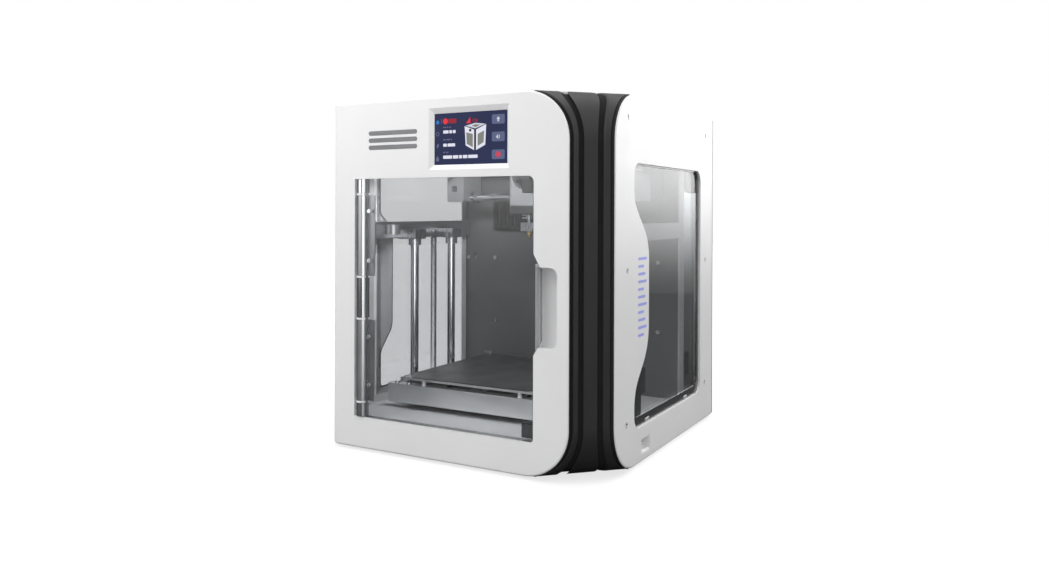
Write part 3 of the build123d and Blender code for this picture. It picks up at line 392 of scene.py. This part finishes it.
# ------------------------------------------------------------ mesh helpers
def piece(name, bm, mats, body, sharp=32, bevel=0.0):
    bmesh.ops.remove_doubles(bm, verts=bm.verts, dist=1e-7)
    bmesh.ops.recalc_face_normals(bm, faces=bm.faces)
    me = bpy.data.meshes.new(name)
    bm.to_mesh(me)
    bm.free()
    for m in mats if isinstance(mats, (list, tuple)) else [mats]:
        me.materials.append(m)
    me.polygons.foreach_set("use_smooth", [True] * len(me.polygons))
    me.set_sharp_from_angle(angle=math.radians(sharp))
    o = bpy.data.objects.new(name, me)
    S.collection.objects.link(o)
    if bevel:
        b = o.modifiers.new("edge", "BEVEL")
        b.width, b.segments, b.limit_method, b.angle_limit = bevel / 1000, 2, "ANGLE", math.radians(40)
    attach(o, body)
    return o


def solid(bm, ring_a, ring_b, mat=0):
    """Closed prism between two rings of points with the same count."""
    a = [bm.verts.new(p) for p in ring_a]
    b = [bm.verts.new(p) for p in ring_b]
    n = len(a)
    faces = [bm.faces.new(a), bm.faces.new(list(reversed(b)))]
    for i in range(n):
        j = (i + 1) % n
        faces.append(bm.faces.new((a[j], a[i], b[i], b[j])))
    for f in faces:
        f.material_index = mat
    return faces


def rounded(x0, y0, x1, y1, r, seg=5):
    """Rounded rectangle as a list of 2-D points."""
    if r <= 0:
        return [(x0, y0), (x1, y0), (x1, y1), (x0, y1)]
    pts = []
    for cx, cy, a0 in ((x1 - r, y0 + r, -90), (x1 - r, y1 - r, 0), (x0 + r, y1 - r, 90), (x0 + r, y0 + r, 180)):
        for i in range(seg + 1):
            a = math.radians(a0 + 90 * i / seg)
            pts.append((cx + r * math.cos(a), cy + r * math.sin(a)))
    return pts


def circle(cx, cy, r, n=24, a0=0.0):
    return [(cx + r * math.cos(a0 + 2 * math.pi * i / n), cy + r * math.sin(a0 + 2 * math.pi * i / n))
            for i in range(n)]


def on_y(pts, y0, y1):
    """Rings for a prism along Y: points are (x, z)."""
    return [V(x, y0, z) for x, z in pts], [V(x, y1, z) for x, z in pts]


def on_x(pts, x0, x1):
    return [V(x0, y, z) for y, z in pts], [V(x1, y, z) for y, z in pts]


def on_z(pts, z0, z1):
    return [V(x, y, z0) for x, y in pts], [V(x, y, z1) for x, y in pts]


def ring_solid(bm, outer, inner, place, d0, d1, mat=0):
    """Closed frame between an outer and an inner loop of the same count."""
    oa, ob = place(outer, d0, d1)
    ia, ib = place(inner, d0, d1)
    oa, ob, ia, ib = ([bm.verts.new(p) for p in ring] for ring in (oa, ob, ia, ib))
    n = len(oa)
    for i in range(n):
        j = (i + 1) % n
        for q in ((oa[i], oa[j], ia[j], ia[i]), (ob[j], ob[i], ib[i], ib[j]),
                  (oa[j], oa[i], ob[i], ob[j]), (ia[i], ia[j], ib[j], ib[i])):
            bm.faces.new(q).material_index = mat


def lathe(bm, profile, origin, axis, seg=32, mat=0):
    """Closed turned shape. profile is (radius, height) from one end of the axis to the other, in mm."""
    axis = Vector(axis).normalized()
    u = axis.orthogonal().normalized()
    v = axis.cross(u)
    rings = []
    for r, h in profile:
        c = origin + axis * (h / 1000)
        if r < 1e-6:
            rings.append([bm.verts.new(c)])
        else:
            rings.append([bm.verts.new(c + (u * math.cos(2 * math.pi * i / seg) + v * math.sin(2 * math.pi * i / seg))
                                       * (r / 1000)) for i in range(seg)])
    for a, b in zip(rings, rings[1:]):
        for i in range(seg):
            j = (i + 1) % seg
            if len(a) == 1 and len(b) == 1:
                continue
            if len(a) == 1:
                f = bm.faces.new((a[0], b[i], b[j]))
            elif len(b) == 1:
                f = bm.faces.new((a[j], a[i], b[0]))
            else:
                f = bm.faces.new((a[j], a[i], b[i], b[j]))
            f.material_index = mat


# ----------------------------------------------------------- display tiles
SX0, SX1, SZ0, SZ1 = 143.5, 234.8, 322.2, 377.4


def sp(s, t):
    return SX0 + s * (SX1 - SX0), SZ1 - t * (SZ1 - SZ0)


UI = [lit("ui_white", lin(226, 228, 240)), lit("ui_grey", lin(96, 98, 130)), lit("ui_slate", lin(88, 97, 132)),
      lit("ui_red", lin(232, 46, 60)), lit("ui_dark_red", lin(150, 26, 44)), lit("ui_blue", lin(28, 120, 205)),
      lit("ui_black", lin(14, 14, 18)), lit("ui_picture_grey", lin(128, 130, 124)), lit("ui_white_soft", lin(205, 208, 218))]
WT, GR, SL, RD, DR, BL, BK, PG, WS = range(9)
bm = bmesh.new()


def tile(pts, mat, lift=0.10):
    a, b = on_y([sp(s, t) for s, t in pts], 2.4 - lift, 2.42)
    solid(bm, a, b, mat)


def bar(s0, t0, s1, t1, mat, r=0.8, lift=0.10):
    (x0, z1), (x1, z0) = sp(s0, t0), sp(s1, t1)
    r = min(r, (x1 - x0) / 2.01, (z1 - z0) / 2.01)
    a, b = on_y(rounded(x0, z0, x1, z1, r, 4), 2.4 - lift, 2.42)
    solid(bm, a, b, mat)


def words(s0, t0, t1, widths, mat, gap=0.012):
    s = s0
    for w in widths:
        bar(s, t0, s + w, t1, mat, 0.5)
        s += w + gap


def dot(s, t, r, mat, lift=0.10, n=20):
    x, z = sp(s, t)
    a, b = on_y(circle(x, z, r, n), 2.4 - lift, 2.42)
    solid(bm, a, b, mat)


# left column of four marks
x, z = sp(0.045, 0.165)
solid(bm, *on_y([(x - 2.3, z), (x, z + 2.3), (x + 2.3, z), (x + 1.7, z), (x + 1.7, z - 2.2), (x - 1.7, z - 2.2), (x - 1.7, z)], 2.3, 2.42), BL)
bar(0.094, 0.10, 0.100, 0.20, GR, 0.2)
ring_solid(bm, circle(*sp(0.045, 0.40), 2.3, 20), circle(*sp(0.045, 0.40), 1.5, 20), on_y, 2.3, 2.42, GR)
tile([(0.028, 0.655), (0.040, 0.60), (0.062, 0.585), (0.064, 0.63), (0.045, 0.675)], GR)
bar(0.024, 0.865, 0.066, 0.93, GR, 0.5)
bar(0.034, 0.835, 0.056, 0.862, GR, 0.4)
# state marks at the top
dot(0.155, 0.155, 3.1, RD)
bar(0.195, 0.11, 0.31, 0.20, DR, 1.2)
tile([(0.445, 0.215), (0.50, 0.10), (0.506, 0.215)], RD)
ring_solid(bm, circle(*sp(0.555, 0.165), 2.1, 20), circle(*sp(0.555, 0.165), 1.25, 20), on_y, 2.3, 2.42, DR)
dot(0.592, 0.165, 1.3, DR)
# rows: a thin caption over a heavier line, drawn as plain bars
words(0.125, 0.262, 0.284, (0.040, 0.022, 0.026), GR, 0.010)
words(0.125, 0.333, 0.392, (0.075, 0.035, 0.040), WT)
words(0.125, 0.500, 0.526, (0.036, 0.050, 0.018), GR, 0.010)
words(0.125, 0.590, 0.648, (0.050, 0.105), WT)
words(0.125, 0.748, 0.772, (0.030, 0.034), GR, 0.010)
words(0.125, 0.822, 0.884, (0.125, 0.075, 0.040, 0.062, 0.128), WT)
# picture of an enclosed machine
tile([(0.425, 0.268), (0.555, 0.345), (0.555, 0.735), (0.440, 0.640)], WT)
tile([(0.447, 0.390), (0.538, 0.425), (0.538, 0.680), (0.456, 0.610)], PG, 0.14)
tile([(0.582, 0.345), (0.718, 0.250), (0.706, 0.640), (0.582, 0.735)], WT)
tile([(0.604, 0.430), (0.692, 0.370), (0.685, 0.590), (0.604, 0.660)], PG, 0.14)
tile([(0.557, 0.330), (0.580, 0.330), (0.580, 0.725), (0.557, 0.725)], BK)
tile([(0.437, 0.262), (0.575, 0.215), (0.712, 0.243), (0.570, 0.322)], WS, 0.09)
tile([(0.520, 0.270), (0.575, 0.242), (0.640, 0.258), (0.578, 0.295)], PG, 0.14)
dot(0.502, 0.352, 1.5, BK, 0.14)
# three buttons with plain glyphs
for i, t0 in enumerate((0.075, 0.405, 0.740)):
    bar(0.795, t0, 0.965, t0 + 0.180, SL, 1.6)
tile([(0.855, 0.165), (0.880, 0.115), (0.905, 0.165)], WS, 0.14)
bar(0.870, 0.163, 0.890, 0.212, WS, 0.2, 0.14)
tile([(0.850, 0.498), (0.880, 0.450), (0.880, 0.545)], WS, 0.14)
bar(0.893, 0.468, 0.900, 0.528, WS, 0.2, 0.14)
ring_solid(bm, circle(*sp(0.880, 0.830), 3.0, 24), circle(*sp(0.880, 0.830), 1.9, 24), on_y, 2.26, 2.42, RD)
dot(0.880, 0.830, 1.1, RD, 0.14)
piece("display_graphics", bm, UI, "printer_frame")

# ------------------------------------------------------- badge and accent
bm = bmesh.new()
for x0, x1, z0, z1 in ((55, 122, 357.2, 362.0), (55, 122, 349.2, 354.0), (55, 122, 341.2, 346.0)):
    solid(bm, *on_y(rounded(x0, z0, x1, z1, 2.3, 6), -0.45, 0.05))
piece("front_badge_bars", bm, BADGE, "printer_frame", bevel=0.18)

bm = bmesh.new()
for i in range(11):
    reach = (121.0, 113.0, 117.0)[i % 3]
    z = 222.0 - 8.2 * i
    solid(bm, *on_x(rounded(96.0, z - 1.5, reach, z + 1.5, 1.4, 5), W - 0.05, W + 0.02))
piece("side_accent_marks", bm, ACCENT, "printer_frame")

# ----------------------------------------------------- lead screw, belts
bm = bmesh.new()
SEG, STEP, Z0, Z1 = 32, 0.25, 20.5, 248.0
rows = int((Z1 - Z0) / STEP)
rings = []
for i in range(rows + 1):
    z = Z0 + (Z1 - Z0) * i / rows
    end = min(1.0, min(z - Z0, Z1 - z) / 0.8)
    ring = []
    for j in range(SEG):
        a = 2 * math.pi * j / SEG
        u = ((z / 8.0 - a / (2 * math.pi)) * 4) % 1.0
        cut = max(0.0, min(1.0, (abs(u - 0.5) - 0.16) / 0.14))
        r = (3.98 - 0.62 * cut) if end >= 1 else 3.2 + 0.16 * end
        ring.append(bm.verts.new(V(30 + r * math.cos(a), 162.9 + r * math.sin(a), z)))
    rings.append(ring)
for a, b in zip(rings, rings[1:]):
    for j in range(SEG):
        k = (j + 1) % SEG
        bm.faces.new((a[j], a[k], b[k], b[j]))
bm.faces.new(list(reversed(rings[0])))
bm.faces.new(rings[-1])
o = piece("lead_screw_threaded", bm, CHROME, "screw", sharp=50)
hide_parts("lead_screw")

bm = bmesh.new()
for x in (36.0, 306.0):
    for side in (-1, 1):
        face = x + side * 8.1
        for i in range(134):
            y = 28.0 + 2.0 * i
            pts = [(face + 0.15 * side, y - 0.55), (face - 0.55 * side, y - 0.4), (face - 0.55 * side, y + 0.4),
                   (face + 0.15 * side, y + 0.55)]
            solid(bm, *on_z(pts, 348.1, 353.9))
piece("belt_teeth", bm, BELT, "printer_frame")

# ------------------------------------------- clips and block at the window
bm = bmesh.new()
for y in (130.0, 259.5):
    solid(bm, *on_x(rounded(y - 6, 42.3, y + 6, 46.4, 1.2, 3), W - 3.2, W - 2.0))
    solid(bm, *on_x(circle(y, 44.3, 1.3, 16), W - 3.0, W - 1.6))
piece("window_clips", bm, ALU_Y, "printer_frame", bevel=0.2)

# a small camera block on a bent bracket, beside the right window
bm = bmesh.new()
solid(bm, *on_x(rounded(116, 42, 134, 76, 1.5, 3), 329.3, 330.9))
solid(bm, *on_z([(322.0, 113.0), (334.6, 113.0), (334.6, 139.0), (322.0, 139.0)], 72.0, 73.6))
piece("camera_bracket", bm, BLACK_SOFT, "printer_frame", bevel=0.3)
bm = bmesh.new()
solid(bm, *on_z(rounded(321.0, 112.5, 334.4, 139.5, 2.2, 4), 73.6, 99.5))
solid(bm, *on_x(circle(126, 87, 7.0, 28), 317.5, 321.4))
solid(bm, *on_x(rounded(132, 78, 138, 96, 1.0, 3), 318.8, 321.4))
piece("camera_block", bm, BLACK_SOFT, "printer_frame", bevel=0.4)
bm = bmesh.new()
# painted glow: the lens takes the display's glowing navy material, though it is no lamp
lathe(bm, [(0, 0), (4.6, 0), (4.6, 0.5), (3.4, 1.5), (1.8, 2.1), (0, 2.3)], V(317.6, 126, 87), (-1, 0, 0), 28)
piece("camera_lens", bm, SCREEN, "printer_frame")

# soft black lips between the column and the two panels' edges
XR, YL, RB, PB = 307.4, 33.3, 52.0, 3.0


def edge_path(flip, off, seg=14):
    """Half outline of a panel beside the column: (along, z) from the top run, round the big corners, to the bottom."""
    pts = []
    for cz, a0 in ((H - RB, 76), (PB + RB, 0)):
        for i in range(seg + 1):
            a = math.radians(a0 - 76 * i / seg)
            pts.append(((RB + off) * math.cos(a), cz + (RB + off) * math.sin(a)))
    return [((XR - RB) + p if not flip else (YL + RB) - p, z) for p, z in pts]


def lip(bm, flip, off0, off1, d0, d1):
    outer, inner = edge_path(flip, off1), edge_path(flip, off0)
    place = on_x if flip else on_y
    rows = []
    for loop in (outer, inner):
        a, b = place(loop, d0, d1)
        rows.append([bm.verts.new(p) for p in a])
        rows.append([bm.verts.new(p) for p in b])
    oa, ob, ia, ib = rows
    for i in range(len(oa) - 1):
        j = i + 1
        for q in ((oa[i], oa[j], ob[j], ob[i]), (ia[j], ia[i], ib[i], ib[j]),
                  (oa[j], oa[i], ia[i], ia[j]), (ob[i], ob[j], ib[j], ib[i])):
            bm.faces.new(q)
    for i in (0, len(oa) - 1):
        bm.faces.new((oa[i], ob[i], ib[i], ia[i]))


bm = bmesh.new()
lip(bm, True, -0.9, 0.5, W - 5.0, W - 1.0)
lip(bm, False, -0.9, 0.5, 1.0, 5.0)
piece("column_lips", bm, RUBBER, "printer_frame", sharp=50)

# ------------------------------------------------------------ small hardware
bm = bmesh.new()


def screw_head(origin, axis, r=2.6, h=1.4, mat=0):
    """Button head with a hexagon socket, made as one closed turned shape with a six-sided well."""
    ax = Vector(axis).normalized()
    u = ax.orthogonal().normalized()
    v = ax.cross(u)
    seg = 24

    def ring(rad, hh, hexa=False):
        out = []
        for i in range(seg):
            a = 2 * math.pi * i / seg
            q = rad
            if hexa:
                b = (a % (math.pi / 3)) - math.pi / 6
                q = rad * math.cos(math.pi / 6) / math.cos(b)
            out.append(bm.verts.new(origin + ax * (hh / 1000) + (u * math.cos(a) + v * math.sin(a)) * (q / 1000)))
        return out
    rr = [ring(r, 0), ring(r, h * 0.45), ring(r * 0.86, h * 0.85), ring(r * 0.62, h), ring(r * 0.48, h, True),
          ring(r * 0.46, h * 0.35, True)]
    for a, b in zip(rr, rr[1:]):
        for i in range(seg):
            j = (i + 1) % seg
            bm.faces.new((a[j], a[i], b[i], b[j]))
    bm.faces.new(rr[0])
    bm.faces.new(list(reversed(rr[-1])))


for x, z in ((10, 14), (332, 14), (10, 386), (332, 386), (10, 200), (332, 200), (171, 386), (171, 14),
             (141, 300), (201, 300), (141, 360), (201, 360)):
    screw_head(V(x, D, z), (0, 1, 0), 2.9, 1.4)
piece("back_panel_screws", bm, STEEL, "printer_frame")

# thin dark strips and a satin band along the hinge barrel, one set per knuckle: painted reflection, standing in for
# the dark bands the chrome barrel reflects
RINGS = (55.8, 150.1, 197.5, 291.3)
ENDS = [39.3] + [z for q in RINGS for z in (q - 1.2, q + 1.2)] + [307.9]


def barrel_reflection_strip(bm, a0, a1, z0, z1, r0, r1, mat=0):
    n = 6
    outer = [(43.8 + r1 * math.cos(math.radians(a0 + (a1 - a0) * i / n)),
              4.5 + r1 * math.sin(math.radians(a0 + (a1 - a0) * i / n))) for i in range(n + 1)]
    inner = [(43.8 + r0 * math.cos(math.radians(a0 + (a1 - a0) * i / n)),
              4.5 + r0 * math.sin(math.radians(a0 + (a1 - a0) * i / n))) for i in range(n, -1, -1)]
    solid(bm, *on_z(outer + inner, z0, z1), mat)


for body, knuckles, label in (("printer_frame", (0, 2, 4), "frame"), ("door", (1, 3), "door")):
    bm = bmesh.new()
    for q in knuckles:
        z0, z1 = ENDS[2 * q] + 0.3, ENDS[2 * q + 1] - 0.3
        # painted reflection: two dark strips and one satin band on each knuckle
        barrel_reflection_strip(bm, -136, -116, z0, z1, 6.9, 7.10, 0)
        barrel_reflection_strip(bm, -4, 14, z0, z1, 6.9, 7.10, 0)
        barrel_reflection_strip(bm, -58, -30, z0, z1, 6.9, 7.12, 1)
    piece("hinge_painted_reflections_" + label, bm, [BLACK_SOFT, HINGE_SATIN], body)

bm = bmesh.new()
for z in (291.4, 333.0):
    for x0, x1 in ((51.6, 53.7), (288.3, 290.4)):
        outer, inner = circle(222, z, 8.2, 32), circle(222, z, 5.05, 32)
        ring_solid(bm, outer, inner, on_x, x0, x1)
piece("rod_collars", bm, CHROME, "gantry", bevel=0.25)

bm = bmesh.new()
for x, y in ((43.9, 68), (61.5, 68)):
    screw_head(V(x, y, 66), (0, 0, 1), 3.0, 1.8)
piece("bed_bar_screws", bm, STEEL, "bed")
bm = bmesh.new()
lathe(bm, [(0, 0), (2.7, 0), (2.7, 1.2), (2.2, 1.5), (2.2, 3.6), (2.7, 3.9), (2.7, 4.9), (0, 4.9)], V(84, 67.5, 66), (0, 0, 1), 24)
lathe(bm, [(0, 0), (2.7, 0), (2.7, 1.2), (2.2, 1.5), (2.2, 3.6), (2.7, 3.9), (2.7, 4.9), (0, 4.9)], V(214, 67.5, 66), (0, 0, 1), 24)
piece("bed_front_posts", bm, WHITE_LIFTED, "bed")
bm = bmesh.new()
for x in (60.0, 234.0):
    solid(bm, *on_z([(x - 6, 250.2), (x + 6, 250.2), (x + 4.4, 253.8), (x - 4.4, 253.8)], 75.0, 79.0))
piece("plate_stops", bm, STEEL, "bed", bevel=0.3)

bm = bmesh.new()
for x, y in ((14, 14), (14, 345), (328, 345), (171, 345), (14, 180), (328, 200), (210, 14)):
    screw_head(V(x, y, H - 1.2), (0, 0, 1), 2.6, 1.2)
piece("top_frame_screws", bm, STEEL, "printer_frame")

bm = bmesh.new()
for y in (112, 140, 186, 214):
    for x in (24, 42):
        screw_head(V(x, y, 64), (0, 0, 1), 2.2, 1.4)
for z in (49, 59):
    for y in (113, 213):
        screw_head(V(46, y, z), (1, 0, 0), 2.2, 1.2)
piece("bed_carriage_screws", bm, STEEL, "bed")

bm = bmesh.new()
for x in (280, 286, 292):
    solid(bm, *on_y(rounded(x - 1.15, 65.8, x + 1.15, 74.2, 0.4, 3), D - 14.2, D - 5.6))
piece("inlet_prongs", bm, STEEL, "printer_frame", bevel=0.2)
bm = bmesh.new()
for y in (116.2, 118.8, 121.4, 124.0):
    solid(bm, *on_x(rounded(y - 0.5, 19.98, y + 0.5, 20.12, 0, 1), W - 10.5, W - 5.2))
piece("usb_contacts", bm, GOLD, "printer_frame")

# ----------------------------------------------------------- floor, lights
bm = bmesh.new()
n = 48
solid(bm, [Vector((6 * math.cos(2 * math.pi * i / n), 6 * math.sin(2 * math.pi * i / n), -0.02)) for i in range(n)],
      [Vector((6 * math.cos(2 * math.pi * i / n), 6 * math.sin(2 * math.pi * i / n), -0.0002)) for i in range(n)])
bmesh.ops.recalc_face_normals(bm, faces=bm.faces)
me = bpy.data.meshes.new("floor")
bm.to_mesh(me)
bm.free()
k = Mat("floor_pale")
tone = k.mix(k.span(k.noise(1.5, 2), 0.3, 0.7), (0.24, 0.24, 0.24, 1), (0.26, 0.26, 0.26, 1))
seen = k.n("ShaderNodeLightPath").outputs["Is Camera Ray"]
glossy = k.n("ShaderNodeLightPath").outputs["Is Glossy Ray"]
dim = k.mix(seen, k.mix(glossy, (0.31, 0.31, 0.31, 1), (0.05, 0.05, 0.05, 1)), tone)
sep = k.n("ShaderNodeSeparateXYZ", {0: k.co.outputs["Object"]})
away = k.math("SQRT", k.math("ADD", k.math("MULTIPLY", sep.outputs[0], sep.outputs[0]),
                             k.math("MULTIPLY", sep.outputs[1], sep.outputs[1])))
fade = k.span(away, 0.3, 1.6, 0.74, 0.86)
me.materials.append(k.done(k.shade(base_color=dim, roughness=0.8, spec=0.1, emission_color=(1, 1, 1, 1),
                                   emission_strength=k.math("MULTIPLY", seen, fade))))
floor = bpy.data.objects.new("floor", me)
S.collection.objects.link(floor)

world = bpy.data.worlds.new("studio")
S.world = world
world.use_nodes = True
wt = world.node_tree
bg = wt.nodes["Background"]


def wn(kind, ins, **props):
    x = wt.nodes.new(kind)
    for k_, v_ in props.items():
        setattr(x, k_, v_)
    for k_, v_ in ins.items():
        if isinstance(v_, bpy.types.NodeSocket):
            wt.links.new(v_, x.inputs[k_])
        else:
            x.inputs[k_].default_value = v_
    return x


# a white cyclorama to look at, and soft boxes with darker gaps between them for the light and the gloss
xyz = wn("ShaderNodeSeparateXYZ", {0: wn("ShaderNodeTexCoord", {}).outputs["Generated"]})
turn = wn("ShaderNodeMath", {0: xyz.outputs[1], 1: xyz.outputs[0]}, operation="ARCTAN2").outputs[0]


def wave(rate, phase):
    a = wn("ShaderNodeMath", {0: turn, 1: rate, 2: phase}, operation="MULTIPLY_ADD").outputs[0]
    return wn("ShaderNodeMath", {0: a}, operation="SINE").outputs[0]


both = wn("ShaderNodeMath", {0: wave(5.0, 0.6), 1: wave(11.0, 2.1)}, operation="ADD").outputs[0]
boxes = wn("ShaderNodeMapRange", {"Value": both, "From Min": -0.9, "From Max": 0.6, "To Min": 0.16, "To Max": 0.86},
           interpolation_type="SMOOTHSTEP").outputs[0]
sky = wn("ShaderNodeMapRange", {"Value": xyz.outputs[2], "From Min": -0.15, "From Max": 0.85, "To Min": 0.0,
                                "To Max": 1.0}, interpolation_type="SMOOTHSTEP").outputs[0]
side_dim = wn("ShaderNodeMapRange", {"Value": xyz.outputs[0], "From Min": 0.25, "From Max": 0.9, "To Min": 1.0,
                                     "To Max": 0.35}, interpolation_type="SMOOTHSTEP").outputs[0]
low = wn("ShaderNodeMath", {0: boxes, 1: side_dim}, operation="MULTIPLY").outputs[0]
mixed = wn("ShaderNodeMix", {0: sky, 2: low, 3: 0.92}, data_type="FLOAT").outputs[0]
seen = wn("ShaderNodeMix", {0: wn("ShaderNodeLightPath", {}).outputs["Is Camera Ray"], 2: mixed, 3: 1.0},
          data_type="FLOAT").outputs[0]
bg.inputs[0].default_value = (1, 1, 1, 1)
wt.links.new(seen, bg.inputs[1])
S.view_settings.view_transform = "Standard"
S.view_settings.look = "None"


def area(name, at, to, size, power, size_y=None, glossy=True):
    d = bpy.data.lights.new(name, "AREA")
    d.shape = "RECTANGLE"
    d.size, d.size_y, d.energy = size, size_y or size, power
    o = bpy.data.objects.new(name, d)
    S.collection.objects.link(o)
    o.location = at
    o.rotation_euler = (Vector(to) - Vector(at)).to_track_quat("-Z", "Y").to_euler()
    o.visible_glossy = glossy
    o.visible_camera = False
    return o


area("key", (-1.0, -1.45, 1.35), (-0.1, -0.1, 0.35), 0.9, 12.5)
area("side", (1.35, 0.45, 1.35), (0.15, 0.0, 0.38), 0.7, 2)
area("side_top", (0.47, 0.03, 0.76), (0.171, 0.0, 0.39), 0.9, 1.9, 0.22, glossy=False)
area("front_top", (-0.30, -0.58, 0.78), (-0.14, -0.222, 0.38), 0.5, 1.3, 0.2, glossy=False)
area("top", (0.2, 0.1, 1.7), (0, 0, 0.3), 1.0, 6)
area("chamber", tuple(V(165, 62, 368)), tuple(V(165, 190, 150)), 0.16, 0.95, 0.03, glossy=False)
area("rear_bay", tuple(V(262, 318, 340)), tuple(V(262, 318, 60)), 0.10, 0.7, 0.05, glossy=False)
area("rod_gleam", (0.62, -1.13, 0.42), (-0.141, -0.062, 0.2), 0.7, 9.0, 1.3).visible_diffuse = False


def glow_card(name, centre, across, low, high, top):
    """A tall card that fades out towards the table, for the sheen on the upper panels and windows."""
    bm = bmesh.new()
    across = Vector(across).normalized()
    away = Vector((-across.y, across.x, 0.0))
    face = [Vector(centre) + across * u + Vector((0, 0, z)) for u, z in
            ((-0.45, low), (0.45, low), (0.45, 1.2), (-0.45, 1.2))]
    solid(bm, face, [p + away * 0.01 for p in face])
    bmesh.ops.recalc_face_normals(bm, faces=bm.faces)
    me = bpy.data.meshes.new(name)
    bm.to_mesh(me)
    bm.free()
    k = Mat(name)
    up = k.n("ShaderNodeSeparateXYZ", {0: k.co.outputs["Object"]}).outputs[2]
    glow = k.n("ShaderNodeMapRange", {"Value": up, "From Min": low, "From Max": high, "To Min": 0.03, "To Max": top},
               interpolation_type="SMOOTHSTEP").outputs[0]
    me.materials.append(k.done(k.shade(base_color=(0.2, 0.2, 0.2, 1), roughness=0.8, spec=0.0,
                                       emission_color=(1, 1, 1, 1), emission_strength=glow)))
    o = bpy.data.objects.new(name, me)
    S.collection.objects.link(o)
    o.visible_camera = False


glow_card("card_side", (0.72, 1.44, 0.0), (0.93, -0.34, 0.0), 0.03, 0.46, 3.1)
glow_card("card_front", (-0.83, -1.47, 0.0), (0.84, -0.54, 0.0), 0.05, 0.50, 2.2)
